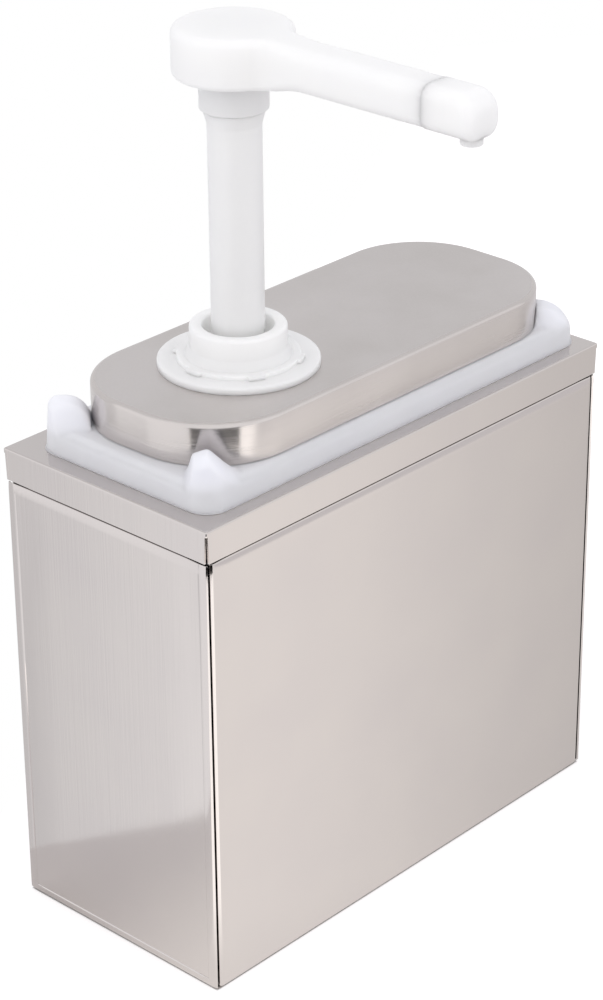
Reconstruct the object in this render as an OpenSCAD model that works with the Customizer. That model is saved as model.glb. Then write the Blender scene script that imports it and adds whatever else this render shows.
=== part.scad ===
// Counter-top sauce dispenser: a folded steel casing that holds a lift-out food jar,
// a drawn steel lid, and a hand pump with a swivelling spout and a spring return.
// Origin: middle of the resting face. X runs along the casing, the spout points to -Y, Z is up.

/* [Casing] */
// Length of the casing over the collar
case_length = 240.6; // [200:0.2:300]
// Width of the casing over the collar
case_width = 112.8; // [100:0.2:140]
// Height of the casing from the resting face to the collar's top
case_height = 210; // [190:1:240]
// Thickness of the casing's steel sheet
case_sheet = 0.8; // [0.6:0.1:1]
// Outer radius of the folds in the walls
bend_radius = 2; // [1.6:0.1:3]
// Width of the folded-in flanges and corner tabs
fold_width = 8; // [6:0.5:10]
// How far the base plate's edge stays inside the walls
base_inset = 1; // [0.6:0.1:1.5]
// Open seam between an end panel's edge and the side panel's face
seam_gap = 0.5; // [0.3:0.1:1]

/* [Collar] */
// Height of the collar's skirt
collar_height = 13.8; // [10:0.2:20]
// How far the collar stands proud of the walls
collar_proud = 0.3; // [0.2:0.05:0.5]
// Outer radius of the collar's top edge
collar_bend = 1.5; // [1:0.1:2]
// Width of the collar's rim along the long sides
rim_side = 12.4; // [10:0.2:16]
// Width of the collar's rim at the two ends
rim_end = 16.3; // [13:0.1:20]
// Depth below the top at which the corner slits begin
slit_start = 2.2; // [2:0.2:6]
// Width of a corner slit at its top
slit_top = 0.9; // [0.5:0.1:1.2]
// Width of a corner slit at its bottom
slit_bottom = 1.5; // [1.2:0.1:2]

/* [Jar] */
// Clearance between the jar and the collar's opening
jar_clearance = 2.4; // [2.2:0.1:3]
// How far the jar sits off the casing's middle along the casing
jar_shift = 1.4; // [0:0.1:1.4]
// How far the jar sits off the casing's middle towards the front
jar_side_shift = 1.4; // [0:0.1:1.4]
// Wall of the jar
jar_wall = 2; // [1.6:0.1:2.6]
// Corner radius of the jar's body
jar_corner = 33; // [30:1:38]
// Radius of the jar's bottom edges
jar_bottom_radius = 8; // [5:0.5:10]
// Height of the jar's underside above the casing's base
jar_lift_off = 8; // [5:0.5:14]
// How far the jar's flange reaches past the body on the long sides
flange_side = 6.4; // [6:0.1:7.4]
// How far the jar's flange reaches past the body at the ends
flange_end = 12.9; // [11:0.1:14]
// Height of the jar's flange above the collar
flange_height = 10.2; // [8:0.1:13]
// Wall of the jar's flange
flange_wall = 2.2; // [1.8:0.1:2.6]
// Corner radius of the jar's flange
flange_corner = 10; // [7:0.5:12]
// Radius of the flange's top edge
flange_edge = 4.5; // [3:0.1:5.5]
// Height of the two ears at the pump's end above the flange
ear_height = 12.6; // [8:0.2:14]
// Height of the two ears at the other end above the flange
low_ear_height = 8.4; // [6:0.2:10]
// Width of an ear across its ridge
ear_width = 16; // [12:0.5:18]
// Width of an ear's ridge
ear_ridge = 2.4; // [1.6:0.2:4]
// Length of an ear from the flange's sharp corner along its ridge
ear_reach = 20.5; // [16:0.5:22]
// Radius at the ends of an ear's ridge
ear_round = 4; // [2:0.2:5]
// Clearance between an ear and the lid
ear_clearance = 2; // [1:0.1:3]
// How far a corner ear stands inside the flange's edge
ear_inset = 0.4; // [0.3:0.1:1]

/* [Lid] */
// Length of the lid
lid_length = 218; // [214:0.5:219]
// Width of the lid
lid_width = 90.6; // [86:0.2:93]
// Height of the lid
lid_height = 17.5; // [15:0.5:23]
// Corner radius of the lid
lid_corner = 37; // [25:0.5:42]
// Radius of the lid's top edge
lid_edge = 2; // [1.5:0.1:4]
// Thickness of the lid's steel sheet
lid_sheet = 0.8; // [0.6:0.1:1]
// How far the lid sits off the jar's middle
lid_shift = 4.6; // [0:0.1:4.6]

/* [Lock nut] */
// How far the pump's axis lies from the lid's middle
pump_offset = -48.8; // [-60:0.2:-40]
// Diameter of the nut's clamping disc
disc_d = 65.8; // [60:0.2:74]
// Thickness of the clamping disc
disc_thick = 3; // [2:0.1:4]
// Diameter of the raised hub on the disc
hub_d = 50; // [46:0.5:54]
// Height of the raised hub above the disc
hub_rise = 1.6; // [1:0.1:2.5]
// Height of the cup's rim above the lid
cup_rise = 17.2; // [15:0.2:20]
// Depth of the cup around the stem
cup_depth = 7.8; // [6:0.2:9]
// Wall of the cup
cup_wall = 5.3; // [4:0.1:6]
// Clearance between the cup and the head's neck
cup_clearance = 0.75; // [0.5:0.05:1.5]
// Height of the cone at the cup's foot
cone_rise = 4; // [3:0.5:6]
// How far the cone reaches out at the cup's foot
cone_reach = 2; // [1:0.2:2.6]
// Thickness of the web that guides the stem
guide_web = 2.5; // [2:0.1:3.5]
// Number of grip lugs on the hub
lug_count = 6; // [4:1:8]
// Length of a grip lug
lug_length = 7; // [4:0.5:9]

/* [Pump cylinder] */
// Bore of the cylinder
bore_d = 24; // [23.4:0.1:26]
// Wall of the cylinder
cylinder_wall = 3; // [2:0.1:4]
// Wall of the threaded neck
neck_wall = 5; // [4.4:0.1:6]
// Diameter of the flange under the lid
clamp_flange_d = 46; // [42:0.5:52]
// Thickness of the flange under the lid
clamp_flange_thick = 3; // [2:0.2:4]
// Thickness of the gasket between flange and lid
gasket_thick = 1.5; // [1:0.1:2.5]
// Radial section of the stem's wiper seal
wiper_section = 3.2; // [2.6:0.1:3.4]
// Height of the stem's wiper seal
wiper_height = 4; // [3:0.2:5]

/* [Plunger] */
// Diameter of the stem
stem_d = 21.5; // [20:0.1:21.6]
// Bore of the stem
stem_bore = 13; // [12.4:0.1:13.4]
// Length of bare stem above the cup
stem_bare = 83.2; // [60:0.2:95]
// Diameter of the stem's shoulder under the head
shoulder_d = 24.8; // [23:0.1:26]
// Length of the stem's tapered shoulder
shoulder_length = 5.9; // [4:0.1:8]
// Diameter of the stem's spigot in the piston
spigot_d = 17; // [16.4:0.1:17.4]
// Length of the stem's spigot in the piston
spigot_length = 14; // [12:0.5:15]
// Length of the piston
piston_length = 22; // [20:0.5:26]
// Gap between the piston and the bore
piston_gap = 0.3; // [0.2:0.05:0.5]
// Skin of the piston behind its seals
piston_skin = 1.2; // [1:0.1:1.4]
// Height of a piston or foot seal
seal_height = 3; // [2:0.2:3.6]
// Space left under the shoulder at the end of the stroke
stroke_margin = 1; // [0.5:0.1:2]

/* [Head and spout] */
// Diameter of the head
head_d = 49; // [44:0.5:56]
// Height of the head
head_height = 20; // [19:0.2:26]
// Radius of the head's top edge
head_top_radius = 4.5; // [2:0.1:6]
// Radius of the head's bottom edge
head_bottom_radius = 2.5; // [1:0.1:4]
// Diameter of the head's neck
neck_d = 27.3; // [26.4:0.1:30]
// Length of the head's neck below the head
neck_length = 13.6; // [10:0.2:18]
// Depth of the stem's socket above the head's underside
socket_depth = 7; // [5:0.2:7.4]
// Width of the spout arm
arm_width = 18; // [16:0.2:22]
// Height of the spout arm
arm_height = 17; // [16.4:0.1:18]
// Radius of the spout arm's edges
arm_edge = 5; // [3:0.1:6]
// How far the arm's top lies below the head's top
arm_drop = 0.5; // [0:0.1:1]
// Distance of the arm's end from the pump's axis
arm_reach = 101; // [70:0.5:110]
// Radius of the blend between the arm and the head
arm_blend = 10; // [6:0.5:14]
// Diameter of the spigot that carries the spout cap
cap_spigot_d = 12; // [11.4:0.1:13]
// Length of the spigot that carries the spout cap
cap_spigot_length = 12; // [8:0.5:14]
// Bore of the sauce channel in the arm
channel_d = 9; // [6:0.1:9.4]
// Length of the spout cap
cap_length = 22.6; // [20:0.2:30]
// How far the spout cap stands proud of the arm
cap_proud = 0.3; // [0.2:0.05:0.6]
// Radius of the spout cap's upper front edge
nose_radius = 8; // [4:0.5:9]
// Distance of the nozzle from the spout cap's front
nozzle_setback = 6; // [5.6:0.1:8]
// Diameter of the nozzle
nozzle_d = 8.6; // [7.6:0.1:10]
// Bore of the nozzle
nozzle_bore = 5.6; // [4:0.1:6]
// How far the nozzle reaches below the spout cap
nozzle_drop = 3; // [2:0.1:5]

/* [Valves and spring] */
// Diameter of a valve ball
ball_d = 10; // [9.4:0.1:10.6]
// Bore of a valve seat
seat_bore = 8; // [6.6:0.1:8.4]
// Travel of a valve ball
ball_travel = 3; // [2:0.1:3.4]
// Height of a ball cage
cage_height = 3.5; // [3:0.1:4]
// Wall of a ball cage
cage_wall = 1.2; // [1:0.1:1.6]
// Width of a ball cage's cross bars
cage_bar = 2; // [1.4:0.1:2.6]
// Length of the foot valve's plug in the cylinder
plug_length = 18.5; // [18:0.5:24]
// Thickness of the foot valve's flange
foot_flange = 4; // [3:0.2:6]
// Diameter of the foot valve's nipple
nipple_d = 10; // [9.4:0.1:11]
// Length of the foot valve's nipple
nipple_length = 14; // [10:0.5:18]
// Wall of the dip tube
dip_wall = 2; // [1.4:0.1:2.4]
// Clearance between the dip tube and the jar's floor
dip_clearance = 6; // [4:0.5:12]
// Slope of the dip tube's cut end in degrees
dip_slope = 30; // [0:5:40]
// Wire of the return spring
wire_d = 1.6; // [1.2:0.1:1.8]
// Mean diameter of the return spring
spring_d = 18.5; // [17.4:0.1:19.4]
// Number of curls in the return spring
spring_curls = 12; // [8:1:12]
// Length of the return spring at full stroke
spring_closed = 24; // [22:0.5:34]
// Gap between the close curls at the spring's ends
curl_gap = 0.6; // [0.4:0.1:1]

/* [Fits] */
// Radial clearance of running and push fits
running_gap = 0.05; // [0.03:0.01:0.08]
// Gap between pieces that rest on each other
rest_gap = 0.2; // [0.1:0.05:0.3]
// Clearance of the neck in the lid's hole and behind the collar's skirt
loose_gap = 0.3; // [0.2:0.05:0.4]

/* [Hidden] */
$fn = 64;
spring_rings = 8;
spring_sides = 6;
over = 1;
steel = "#c4bdbb";
bare_steel = "#b9b4b2";
jar_white = "#e6e6ec";
pump_white = "#f4f4f2";
seal_grey = "#8d8f92";

// Casing levels and faces
wall_x = case_length / 2 - collar_proud;
wall_y = case_width / 2 - collar_proud;
base_top = case_sheet;
skirt_bottom = case_height - collar_height;
jog_in = case_sheet + loose_gap - collar_proud;
jog_top = skirt_bottom - loose_gap;
wall_top = jog_top - jog_in;
strip_top = case_height - collar_bend - loose_gap;
tab_x = wall_x - case_sheet;
fold_end = base_top + bend_radius;
tab_start = fold_end + loose_gap;
opening_x = case_length - 2 * rim_end;
opening_y = case_width - 2 * rim_side;

// Jar and lid
jar_x = opening_x - 2 * jar_clearance;
jar_y = opening_y - 2 * jar_clearance;
jar_bottom = base_top + jar_lift_off;
jar_floor = jar_bottom + jar_wall;
flange_x = jar_x + 2 * flange_end;
flange_y = jar_y + 2 * flange_side;
flange_bottom = case_height + rest_gap;
deck_top = flange_bottom + flange_height;
ear_start = flange_bottom + flange_height / 2;
ear_corner = flange_corner - ear_inset;
lid_x = jar_shift + lid_shift;
lid_bottom = deck_top + rest_gap;
lid_top = lid_bottom + lid_height;
pump_x = lid_x + pump_offset;

// Lock nut, cylinder and plunger, from the lid upwards and downwards
disc_top = lid_top + disc_thick;
hub_top = disc_top + hub_rise;
cup_top = lid_top + cup_rise;
cup_floor = cup_top - cup_depth;
neck_top = cup_floor - guide_web;
cup_bore = neck_d + 2 * cup_clearance;
cup_d = cup_bore + 2 * cup_wall;
thread_d = bore_d + 2 * neck_wall;
lid_hole_d = thread_d + 2 * loose_gap;
tube_d = bore_d + 2 * cylinder_wall;
gasket_top = lid_top - lid_sheet;
clamp_top = gasket_top - gasket_thick;
clamp_bottom = clamp_top - clamp_flange_thick;
wiper_d = stem_d + 2 * wiper_section;
wiper_bottom = neck_top - wiper_height;
piston_top = wiper_bottom - rest_gap;
piston_bottom = piston_top - piston_length;
piston_d = bore_d - 2 * piston_gap;
groove_d = spigot_d + 2 * (running_gap + piston_skin);
seal_d = bore_d - 2 * running_gap;
seal_pitch = (piston_length - 2 * seal_height) / 3 + seal_height;
stem_foot = piston_top + rest_gap;
spigot_foot = stem_foot - spigot_length;
piston_seat = spigot_foot - rest_gap;
shoulder_bottom = cup_top + stem_bare;
shoulder_top = shoulder_bottom + shoulder_length;
head_bottom = shoulder_top + neck_length;
head_top = head_bottom + head_height;
socket_top = head_bottom + socket_depth;
stroke = shoulder_bottom - cup_floor - stroke_margin;
arm_level = head_top - arm_drop - arm_height / 2;
cap_width = arm_width + 2 * cap_proud;
cap_height = arm_height + 2 * cap_proud;
channel_end = arm_reach + cap_spigot_length;
nozzle_bottom = -cap_height / 2 - nozzle_drop;
nozzle_y = nozzle_setback - cap_length;

// Foot valve, balls, spring and dip tube
spring_seat = piston_bottom - stroke - spring_closed;
spring_length = piston_bottom - spring_seat - 2 * rest_gap;
spring_rise = spring_length - wire_d;
close_pitch = wire_d + curl_gap;
open_pitch = (spring_rise - 2 * close_pitch) / (spring_curls - 2);
plug_bottom = spring_seat - plug_length;
foot_bottom = plug_bottom - foot_flange;
ball_perch = sqrt(pow(ball_d / 2, 2) - pow(seat_bore / 2, 2)) + rest_gap;
cage_lift = ball_perch + ball_d / 2 + ball_travel + rest_gap;
foot_seat = spring_seat - cage_lift - cage_height;
cage_d = stem_bore - 2 * running_gap;
dip_d = nipple_d + 2 * running_gap + 2 * dip_wall;
dip_end = jar_floor + dip_clearance;

// A centred rectangle with round corners
module round_rect(size_x, size_y, corner) {
    square([size_x - 2 * corner, size_y], center = true);
    square([size_x, size_y - 2 * corner], center = true);
    for (side_x = [-1, 1], side_y = [-1, 1])
        translate([side_x * (size_x / 2 - corner), side_y * (size_y / 2 - corner)])
            circle(corner);
}

// A quarter of a bent sheet, from the -X side round to the -Y side
module quarter_bend(radius, sheet) {
    intersection() {
        difference() {
            circle(radius);
            circle(radius - sheet);
        }
        translate([-radius, -radius])
            square(radius);
    }
}

// Carry a profile, x outwards from the corner's centre and y upwards, round a rounded rectangle
module carry_round(size_x, size_y, corner) {
    straight_x = size_x - 2 * corner;
    straight_y = size_y - 2 * corner;
    for (flip = [0, 1]) {
        mirror([0, flip, 0])
            translate([-straight_x / 2, straight_y / 2, 0])
                rotate([90, 0, 90])
                    linear_extrude(straight_x)
                        children();
        mirror([flip, 0, 0])
            translate([straight_x / 2, straight_y / 2, 0])
                rotate([90, 0, 0])
                    linear_extrude(straight_y)
                        children();
    }
    for (flip_x = [0, 1], flip_y = [0, 1])
        mirror([flip_x, 0, 0])
            mirror([0, flip_y, 0])
                translate([straight_x / 2, straight_y / 2, 0])
                    rotate_extrude(angle = 90)
                        children();
}

// A drawn tray standing upside down on z = 0, with round corners and a round top edge
module tray(size_x, size_y, corner, height, edge, wall) {
    carry_round(size_x, size_y, corner) {
        translate([corner - wall, 0])
            square([wall, height - edge]);
        translate([corner - edge, height - edge])
            rotate(180)
                quarter_bend(edge, wall);
    }
    translate([0, 0, height - wall])
        linear_extrude(wall)
            round_rect(size_x - 2 * edge, size_y - 2 * edge, corner - edge);
}

// A plate whose two upper edges are round, drawn across x
module round_top(width, height, radius) {
    translate([-width / 2, 0])
        square([width, height - radius]);
    translate([radius - width / 2, 0])
        square([width - 2 * radius, height]);
    for (side = [-1, 1])
        translate([side * (width / 2 - radius), height - radius])
            circle(radius);
}

// A box whose four upper edges are round and meet in mitres at the corners
module round_top_box(size_x, size_y, height, radius) {
    intersection() {
        rotate([90, 0, 90])
            linear_extrude(size_x, center = true)
                round_top(size_y, height, radius);
        rotate([90, 0, 0])
            linear_extrude(size_y, center = true)
                round_top(size_x, height, radius);
    }
}

// A round bar with a bore right through it
module sleeve(outer, bore, height) {
    difference() {
        cylinder(d = outer, h = height);
        translate([0, 0, -over])
            cylinder(d = bore, h = height + 2 * over);
    }
}

// Section of a wall above its fold, x inwards from its face, stepped in behind the collar
module wall_section() {
    polygon([
        [0, fold_end], [0, wall_top], [jog_in, jog_top], [jog_in, strip_top],
        [jog_in + case_sheet, strip_top], [jog_in + case_sheet, jog_top],
        [case_sheet, wall_top], [case_sheet, fold_end]
    ]);
}

// A wall with its fold and flange along the bottom, standing along X with its face towards -Y
module folded_wall(wall_span, fold_span, flange_span) {
    rotate([90, 0, 90]) {
        linear_extrude(wall_span, center = true)
            wall_section();
        linear_extrude(fold_span, center = true)
            translate([bend_radius, fold_end])
                quarter_bend(bend_radius, case_sheet);
        linear_extrude(flange_span, center = true)
            translate([bend_radius, base_top])
                square([fold_width - bend_radius, case_sheet]);
    }
}

// A long wall with a corner tab folded in at each end, its face towards -Y
module side_panel() {
    span = 2 * (tab_x - bend_radius);
    color(steel)
        translate([0, -wall_y, 0]) {
            folded_wall(span, span, 2 * (wall_x - fold_width - loose_gap));
            for (side = [0, 1])
                mirror([side, 0, 0])
                    translate([bend_radius - tab_x, 0, tab_start])
                        linear_extrude(wall_top - tab_start) {
                            translate([0, bend_radius])
                                quarter_bend(bend_radius, case_sheet);
                            translate([-bend_radius, bend_radius])
                                square([case_sheet, fold_width - bend_radius]);
                        }
        }
}

// A short wall that covers the corner tabs, its face towards -X
module end_panel() {
    span = 2 * (wall_y - seam_gap);
    fold_span = 2 * (wall_y - bend_radius);
    color(steel)
        translate([-wall_x, 0, 0])
            rotate([0, 0, -90])
                folded_wall(span, fold_span, fold_span);
}

module base_plate() {
    color(steel)
        translate([base_inset - wall_x, base_inset - wall_y, 0])
            cube([2 * (wall_x - base_inset), 2 * (wall_y - base_inset), case_sheet]);
}

module near_side_panel() {
    side_panel();
}

module far_side_panel() {
    mirror([0, 1, 0])
        side_panel();
}

module left_end_panel() {
    end_panel();
}

module right_end_panel() {
    mirror([1, 0, 0])
        end_panel();
}

// A frame with a skirt on each side, open at the corners, and a hole for the jar
module top_collar() {
    slit_drop = collar_height - slit_start;
    color(steel)
        translate([0, 0, skirt_bottom])
            difference() {
                round_top_box(case_length, case_width, collar_height, collar_bend);
                translate([0, 0, -case_sheet])
                    round_top_box(case_length - 2 * case_sheet, case_width - 2 * case_sheet,
                        collar_height, collar_bend - case_sheet / 2);
                linear_extrude(collar_height + over)
                    round_rect(opening_x, opening_y, jar_corner + jar_clearance);
                for (side_x = [-1, 1], side_y = [-1, 1])
                    translate([side_x * case_length / 2, side_y * case_width / 2, 0])
                        rotate([90, 0, side_x * side_y * 45])
                            translate([0, 0, -fold_width / 2])
                                linear_extrude(fold_width)
                                    polygon([
                                        [-slit_bottom / 2, -over], [slit_bottom / 2, -over],
                                        [slit_top / 2, slit_drop], [-slit_top / 2, slit_drop]
                                    ]);
            }
}

// The jar's flange, turned down over the collar, with its hole in the middle of the jar's wall
module jar_flange() {
    difference() {
        tray(flange_x, flange_y, flange_corner, flange_height, flange_edge, flange_wall);
        translate([0, 0, flange_edge])
            linear_extrude(flange_height)
                round_rect(jar_x - jar_wall, jar_y - jar_wall, jar_corner - jar_wall / 2);
    }
}

// A gabled ear whose ridge runs inwards from the flange's corner, drawn for the +X +Y corner
module corner_ear(height) {
    rise = deck_top + height - ear_start;
    side_rise = rise - (ear_width - ear_ridge) / 2;
    intersection() {
        linear_extrude(rise)
            translate([-ear_reach, -ear_reach]) {
                square([ear_reach - ear_corner, ear_reach]);
                square([ear_reach, ear_reach - ear_corner]);
                translate([ear_reach - ear_corner, ear_reach - ear_corner])
                    circle(ear_corner);
            }
        rotate([90, 0, -45])
            linear_extrude(2 * ear_reach, center = true)
                polygon([
                    [-ear_width / 2, 0], [ear_width / 2, 0], [ear_width / 2, side_rise],
                    [ear_ridge / 2, rise], [-ear_ridge / 2, rise], [-ear_width / 2, side_rise]
                ]);
        rotate([90, 0, 45])
            linear_extrude(2 * ear_width, center = true)
                translate([(ear_corner * (1 - sqrt(2)) - ear_reach) / 2, 0])
                    round_top(ear_reach + ear_corner * (1 - sqrt(2)), rise, ear_round);
    }
}

// The four ears, cut clear of the lid
module corner_ears() {
    difference() {
        for (end = [-1, 1], flip_y = [0, 1])
            mirror([(1 - end) / 2, 0, 0])
                mirror([0, flip_y, 0])
                    translate([flange_x / 2 - ear_inset, flange_y / 2 - ear_inset, ear_start])
                        corner_ear(end < 0 ? ear_height : low_ear_height);
        translate([lid_shift, jar_side_shift, ear_start - over])
            linear_extrude(ear_height + flange_height)
                round_rect(
                    lid_length + 2 * ear_clearance, lid_width + 2 * ear_clearance, lid_corner + ear_clearance
                );
    }
}

// The jar with its flange and an ear at each corner
module food_jar() {
    color(jar_white)
        translate([jar_shift, -jar_side_shift, 0]) {
            translate([0, 0, deck_top])
                mirror([0, 0, 1])
                    tray(jar_x, jar_y, jar_corner, deck_top - jar_bottom, jar_bottom_radius, jar_wall);
            translate([0, 0, flange_bottom])
                jar_flange();
            corner_ears();
        }
}

// The drawn lid, with a hole for the pump's neck
module lid_shell() {
    color(bare_steel)
        difference() {
            translate([lid_x, 0, lid_bottom])
                tray(lid_length, lid_width, lid_corner, lid_height, lid_edge, lid_sheet);
            translate([pump_x, 0, lid_bottom])
                cylinder(d = lid_hole_d, h = lid_height + over);
        }
}

module cylinder_gasket() {
    color(seal_grey)
        translate([pump_x, 0, clamp_top])
            sleeve(clamp_flange_d, thread_d + 2 * running_gap, gasket_thick);
}

// The pump's cylinder: a neck through the lid, a clamping flange and a long tube
module pump_cylinder() {
    color(pump_white)
        translate([pump_x, 0, 0])
            difference() {
                union() {
                    translate([0, 0, plug_bottom])
                        cylinder(d = tube_d, h = clamp_bottom - plug_bottom);
                    translate([0, 0, clamp_bottom])
                        cylinder(d = clamp_flange_d, h = clamp_flange_thick);
                    translate([0, 0, clamp_top])
                        cylinder(d = thread_d, h = neck_top - clamp_top);
                }
                translate([0, 0, plug_bottom - over])
                    cylinder(d = bore_d, h = neck_top - plug_bottom + 2 * over);
                translate([0, 0, wiper_bottom])
                    cylinder(d = wiper_d + 2 * running_gap, h = wiper_height + over);
            }
}

// The nut on the neck: a clamping disc, a hub with grip lugs, and a cup that guides the stem
module lock_nut() {
    color(pump_white)
        translate([pump_x, 0, 0])
            difference() {
                union() {
                    translate([0, 0, lid_top])
                        cylinder(d = disc_d, h = disc_thick);
                    translate([0, 0, disc_top])
                        cylinder(d = hub_d, h = hub_rise);
                    translate([0, 0, hub_top])
                        cylinder(d1 = cup_d + 2 * cone_reach, d2 = cup_d, h = cone_rise);
                    translate([0, 0, hub_top])
                        cylinder(d = cup_d, h = cup_top - hub_top);
                    for (lug = [0 : lug_count - 1])
                        rotate([0, 0, 360 * lug / lug_count])
                            translate([hub_d / 2 - over, -lug_length / 2, disc_top])
                                cube([hub_rise + over, lug_length, hub_rise]);
                }
                translate([0, 0, lid_top - over])
                    cylinder(d = thread_d + 2 * running_gap, h = neck_top - lid_top + over);
                translate([0, 0, lid_top])
                    cylinder(d = stem_d + 2 * running_gap, h = cup_rise);
                translate([0, 0, cup_floor])
                    cylinder(d = cup_bore, h = cup_depth + over);
            }
}

module wiper_seal() {
    color(seal_grey)
        translate([pump_x, 0, wiper_bottom])
            sleeve(wiper_d, stem_d + 2 * running_gap, wiper_height);
}

// The foot valve: a plug in the cylinder, a flange under it and a nipple for the dip tube
module foot_valve() {
    color(pump_white)
        translate([pump_x, 0, 0])
            difference() {
                union() {
                    translate([0, 0, plug_bottom])
                        cylinder(d = seal_d, h = plug_length);
                    translate([0, 0, foot_bottom])
                        cylinder(d = tube_d, h = foot_flange);
                    translate([0, 0, foot_bottom - nipple_length])
                        cylinder(d = nipple_d, h = nipple_length);
                }
                translate([0, 0, foot_bottom - nipple_length - over])
                    cylinder(d = seat_bore, h = spring_seat - foot_bottom + nipple_length + over);
                translate([0, 0, foot_seat])
                    cylinder(d = stem_bore, h = spring_seat - foot_seat + over);
                translate([0, 0, plug_bottom + seal_height])
                    sleeve(bore_d + over, groove_d, seal_height);
            }
}

module foot_seal() {
    color(seal_grey)
        translate([pump_x, 0, plug_bottom + seal_height + running_gap])
            sleeve(seal_d, groove_d + 2 * running_gap, seal_height - 2 * running_gap);
}

// A ring with two crossed bars that stops a valve ball
module ball_cage() {
    color(pump_white) {
        sleeve(cage_d, cage_d - 2 * cage_wall, cage_height);
        intersection() {
            cylinder(d = cage_d - cage_wall, h = cage_bar);
            for (turn = [0, 90])
                rotate([0, 0, turn])
                    translate([-cage_d / 2, -cage_bar / 2, 0])
                        cube([cage_d, cage_bar, cage_bar]);
        }
    }
}

module valve_ball() {
    color(bare_steel)
        sphere(d = ball_d);
}

module inlet_ball_cage() {
    translate([pump_x, 0, spring_seat - cage_height])
        ball_cage();
}

module inlet_ball() {
    translate([pump_x, 0, foot_seat + ball_perch])
        valve_ball();
}

// The dip tube, pushed over the nipple and cut on a slope above the jar's floor
module dip_tube() {
    cut_size = 4 * dip_d;
    color(pump_white)
        translate([pump_x, 0, 0])
            difference() {
                translate([0, 0, dip_end])
                    sleeve(dip_d, nipple_d + 2 * running_gap, foot_bottom - dip_end);
                translate([-dip_d / 2, 0, dip_end])
                    rotate([0, -dip_slope, 0])
                        translate([0, 0, -cut_size / 2])
                            cube(cut_size, center = true);
            }
}

// Height of the spring's wire after a number of turns, with a close curl at each end
function spring_height(turns) =
    turns < 1 ? turns * close_pitch
    : turns > spring_curls - 1 ? spring_rise - (spring_curls - turns) * close_pitch
    : close_pitch + (turns - 1) * open_pitch;

// Middle of the spring's wire after a number of turns
function spring_point(turns) = [
    spring_d / 2 * cos(360 * turns), spring_d / 2 * sin(360 * turns), spring_height(turns)
];

// The return spring as one tube wound up from the foot valve to the piston
module return_spring() {
    spring_steps = spring_curls * spring_rings;
    spring_line = [for (step = [0 : spring_steps]) spring_point(step / spring_rings)];
    least_gap = min([
        for (step = [0 : spring_steps - spring_rings])
            norm(spring_line[step + spring_rings] - spring_line[step]) - wire_d
    ]);
    echo(str("return_spring least gap to itself, mm: ", least_gap));
    points = [
        for (step = [0 : spring_steps])
            let (
                turn = 360 * step / spring_rings,
                outwards = [cos(turn), sin(turn), 0]
            )
            for (side = [0 : spring_sides - 1])
                spring_line[step]
                + wire_d / 2 * (cos(360 * side / spring_sides) * outwards
                + sin(360 * side / spring_sides) * [0, 0, 1])
    ];
    skin = [
        for (step = [0 : spring_steps - 1], side = [0 : spring_sides - 1])
            let (
                a = step * spring_sides + side,
                b = step * spring_sides + (side + 1) % spring_sides
            )
            each [[a, b, a + spring_sides], [b, b + spring_sides, a + spring_sides]]
    ];
    last = spring_steps * spring_sides;
    ends = [
        for (side = [1 : spring_sides - 2])
            each [[0, side + 1, side], [last, last + side, last + side + 1]]
    ];
    color(bare_steel)
        translate([pump_x, 0, spring_seat + rest_gap + wire_d / 2])
            polyhedron(points, concat(skin, ends));
}

// The piston: a socket for the stem, two seal grooves, and the seat of the outlet ball
module piston() {
    color(pump_white)
        translate([pump_x, 0, 0])
            difference() {
                translate([0, 0, piston_bottom])
                    cylinder(d = piston_d, h = piston_length);
                translate([0, 0, piston_bottom - over])
                    cylinder(d = seat_bore, h = piston_length);
                translate([0, 0, piston_seat])
                    cylinder(d = spigot_d + 2 * running_gap, h = piston_top - piston_seat + over);
                for (groove = [1, 2])
                    translate([0, 0, piston_bottom + groove * seal_pitch - seal_height])
                        sleeve(bore_d + over, groove_d, seal_height);
            }
}

module piston_seals() {
    color(seal_grey)
        for (groove = [1, 2])
            translate([pump_x, 0, piston_bottom + groove * seal_pitch - seal_height + running_gap])
                sleeve(seal_d, groove_d + 2 * running_gap, seal_height - 2 * running_gap);
}

module outlet_ball() {
    translate([pump_x, 0, piston_seat + ball_perch])
        valve_ball();
}

// The stem: a spigot in the piston, a long tube and a tapered shoulder under the head's neck
module stem() {
    color(pump_white)
        translate([pump_x, 0, 0])
            difference() {
                union() {
                    translate([0, 0, spigot_foot])
                        cylinder(d = spigot_d, h = spigot_length);
                    translate([0, 0, stem_foot])
                        cylinder(d = stem_d, h = socket_top - stem_foot);
                    translate([0, 0, shoulder_bottom])
                        cylinder(d1 = stem_d, d2 = shoulder_d, h = shoulder_length);
                }
                translate([0, 0, spigot_foot - over])
                    cylinder(d = stem_bore, h = socket_top - spigot_foot + 2 * over);
            }
}

module outlet_ball_cage() {
    translate([pump_x, 0, piston_seat + cage_lift])
        ball_cage();
}

// Half the outline of the head, x outwards from the pump's axis
module head_outline() {
    head_r = head_d / 2;
    square([head_r - head_bottom_radius, head_height - head_top_radius]);
    square([head_r - head_top_radius, head_height]);
    translate([0, head_bottom_radius])
        square([head_r, head_height - head_top_radius - head_bottom_radius]);
    translate([head_r - head_bottom_radius, head_bottom_radius])
        circle(head_bottom_radius);
    translate([head_r - head_top_radius, head_height - head_top_radius])
        circle(head_top_radius);
}

// One side of the blend between the head and the arm, seen from above
module arm_blend_outline() {
    blend_x = arm_width / 2 + arm_blend;
    blend_y = sqrt(pow(head_d / 2 + arm_blend, 2) - pow(blend_x, 2));
    difference() {
        polygon([[0, 0], [blend_x, -blend_y], [0, -blend_y]]);
        translate([blend_x, -blend_y])
            circle(arm_blend);
    }
}

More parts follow.
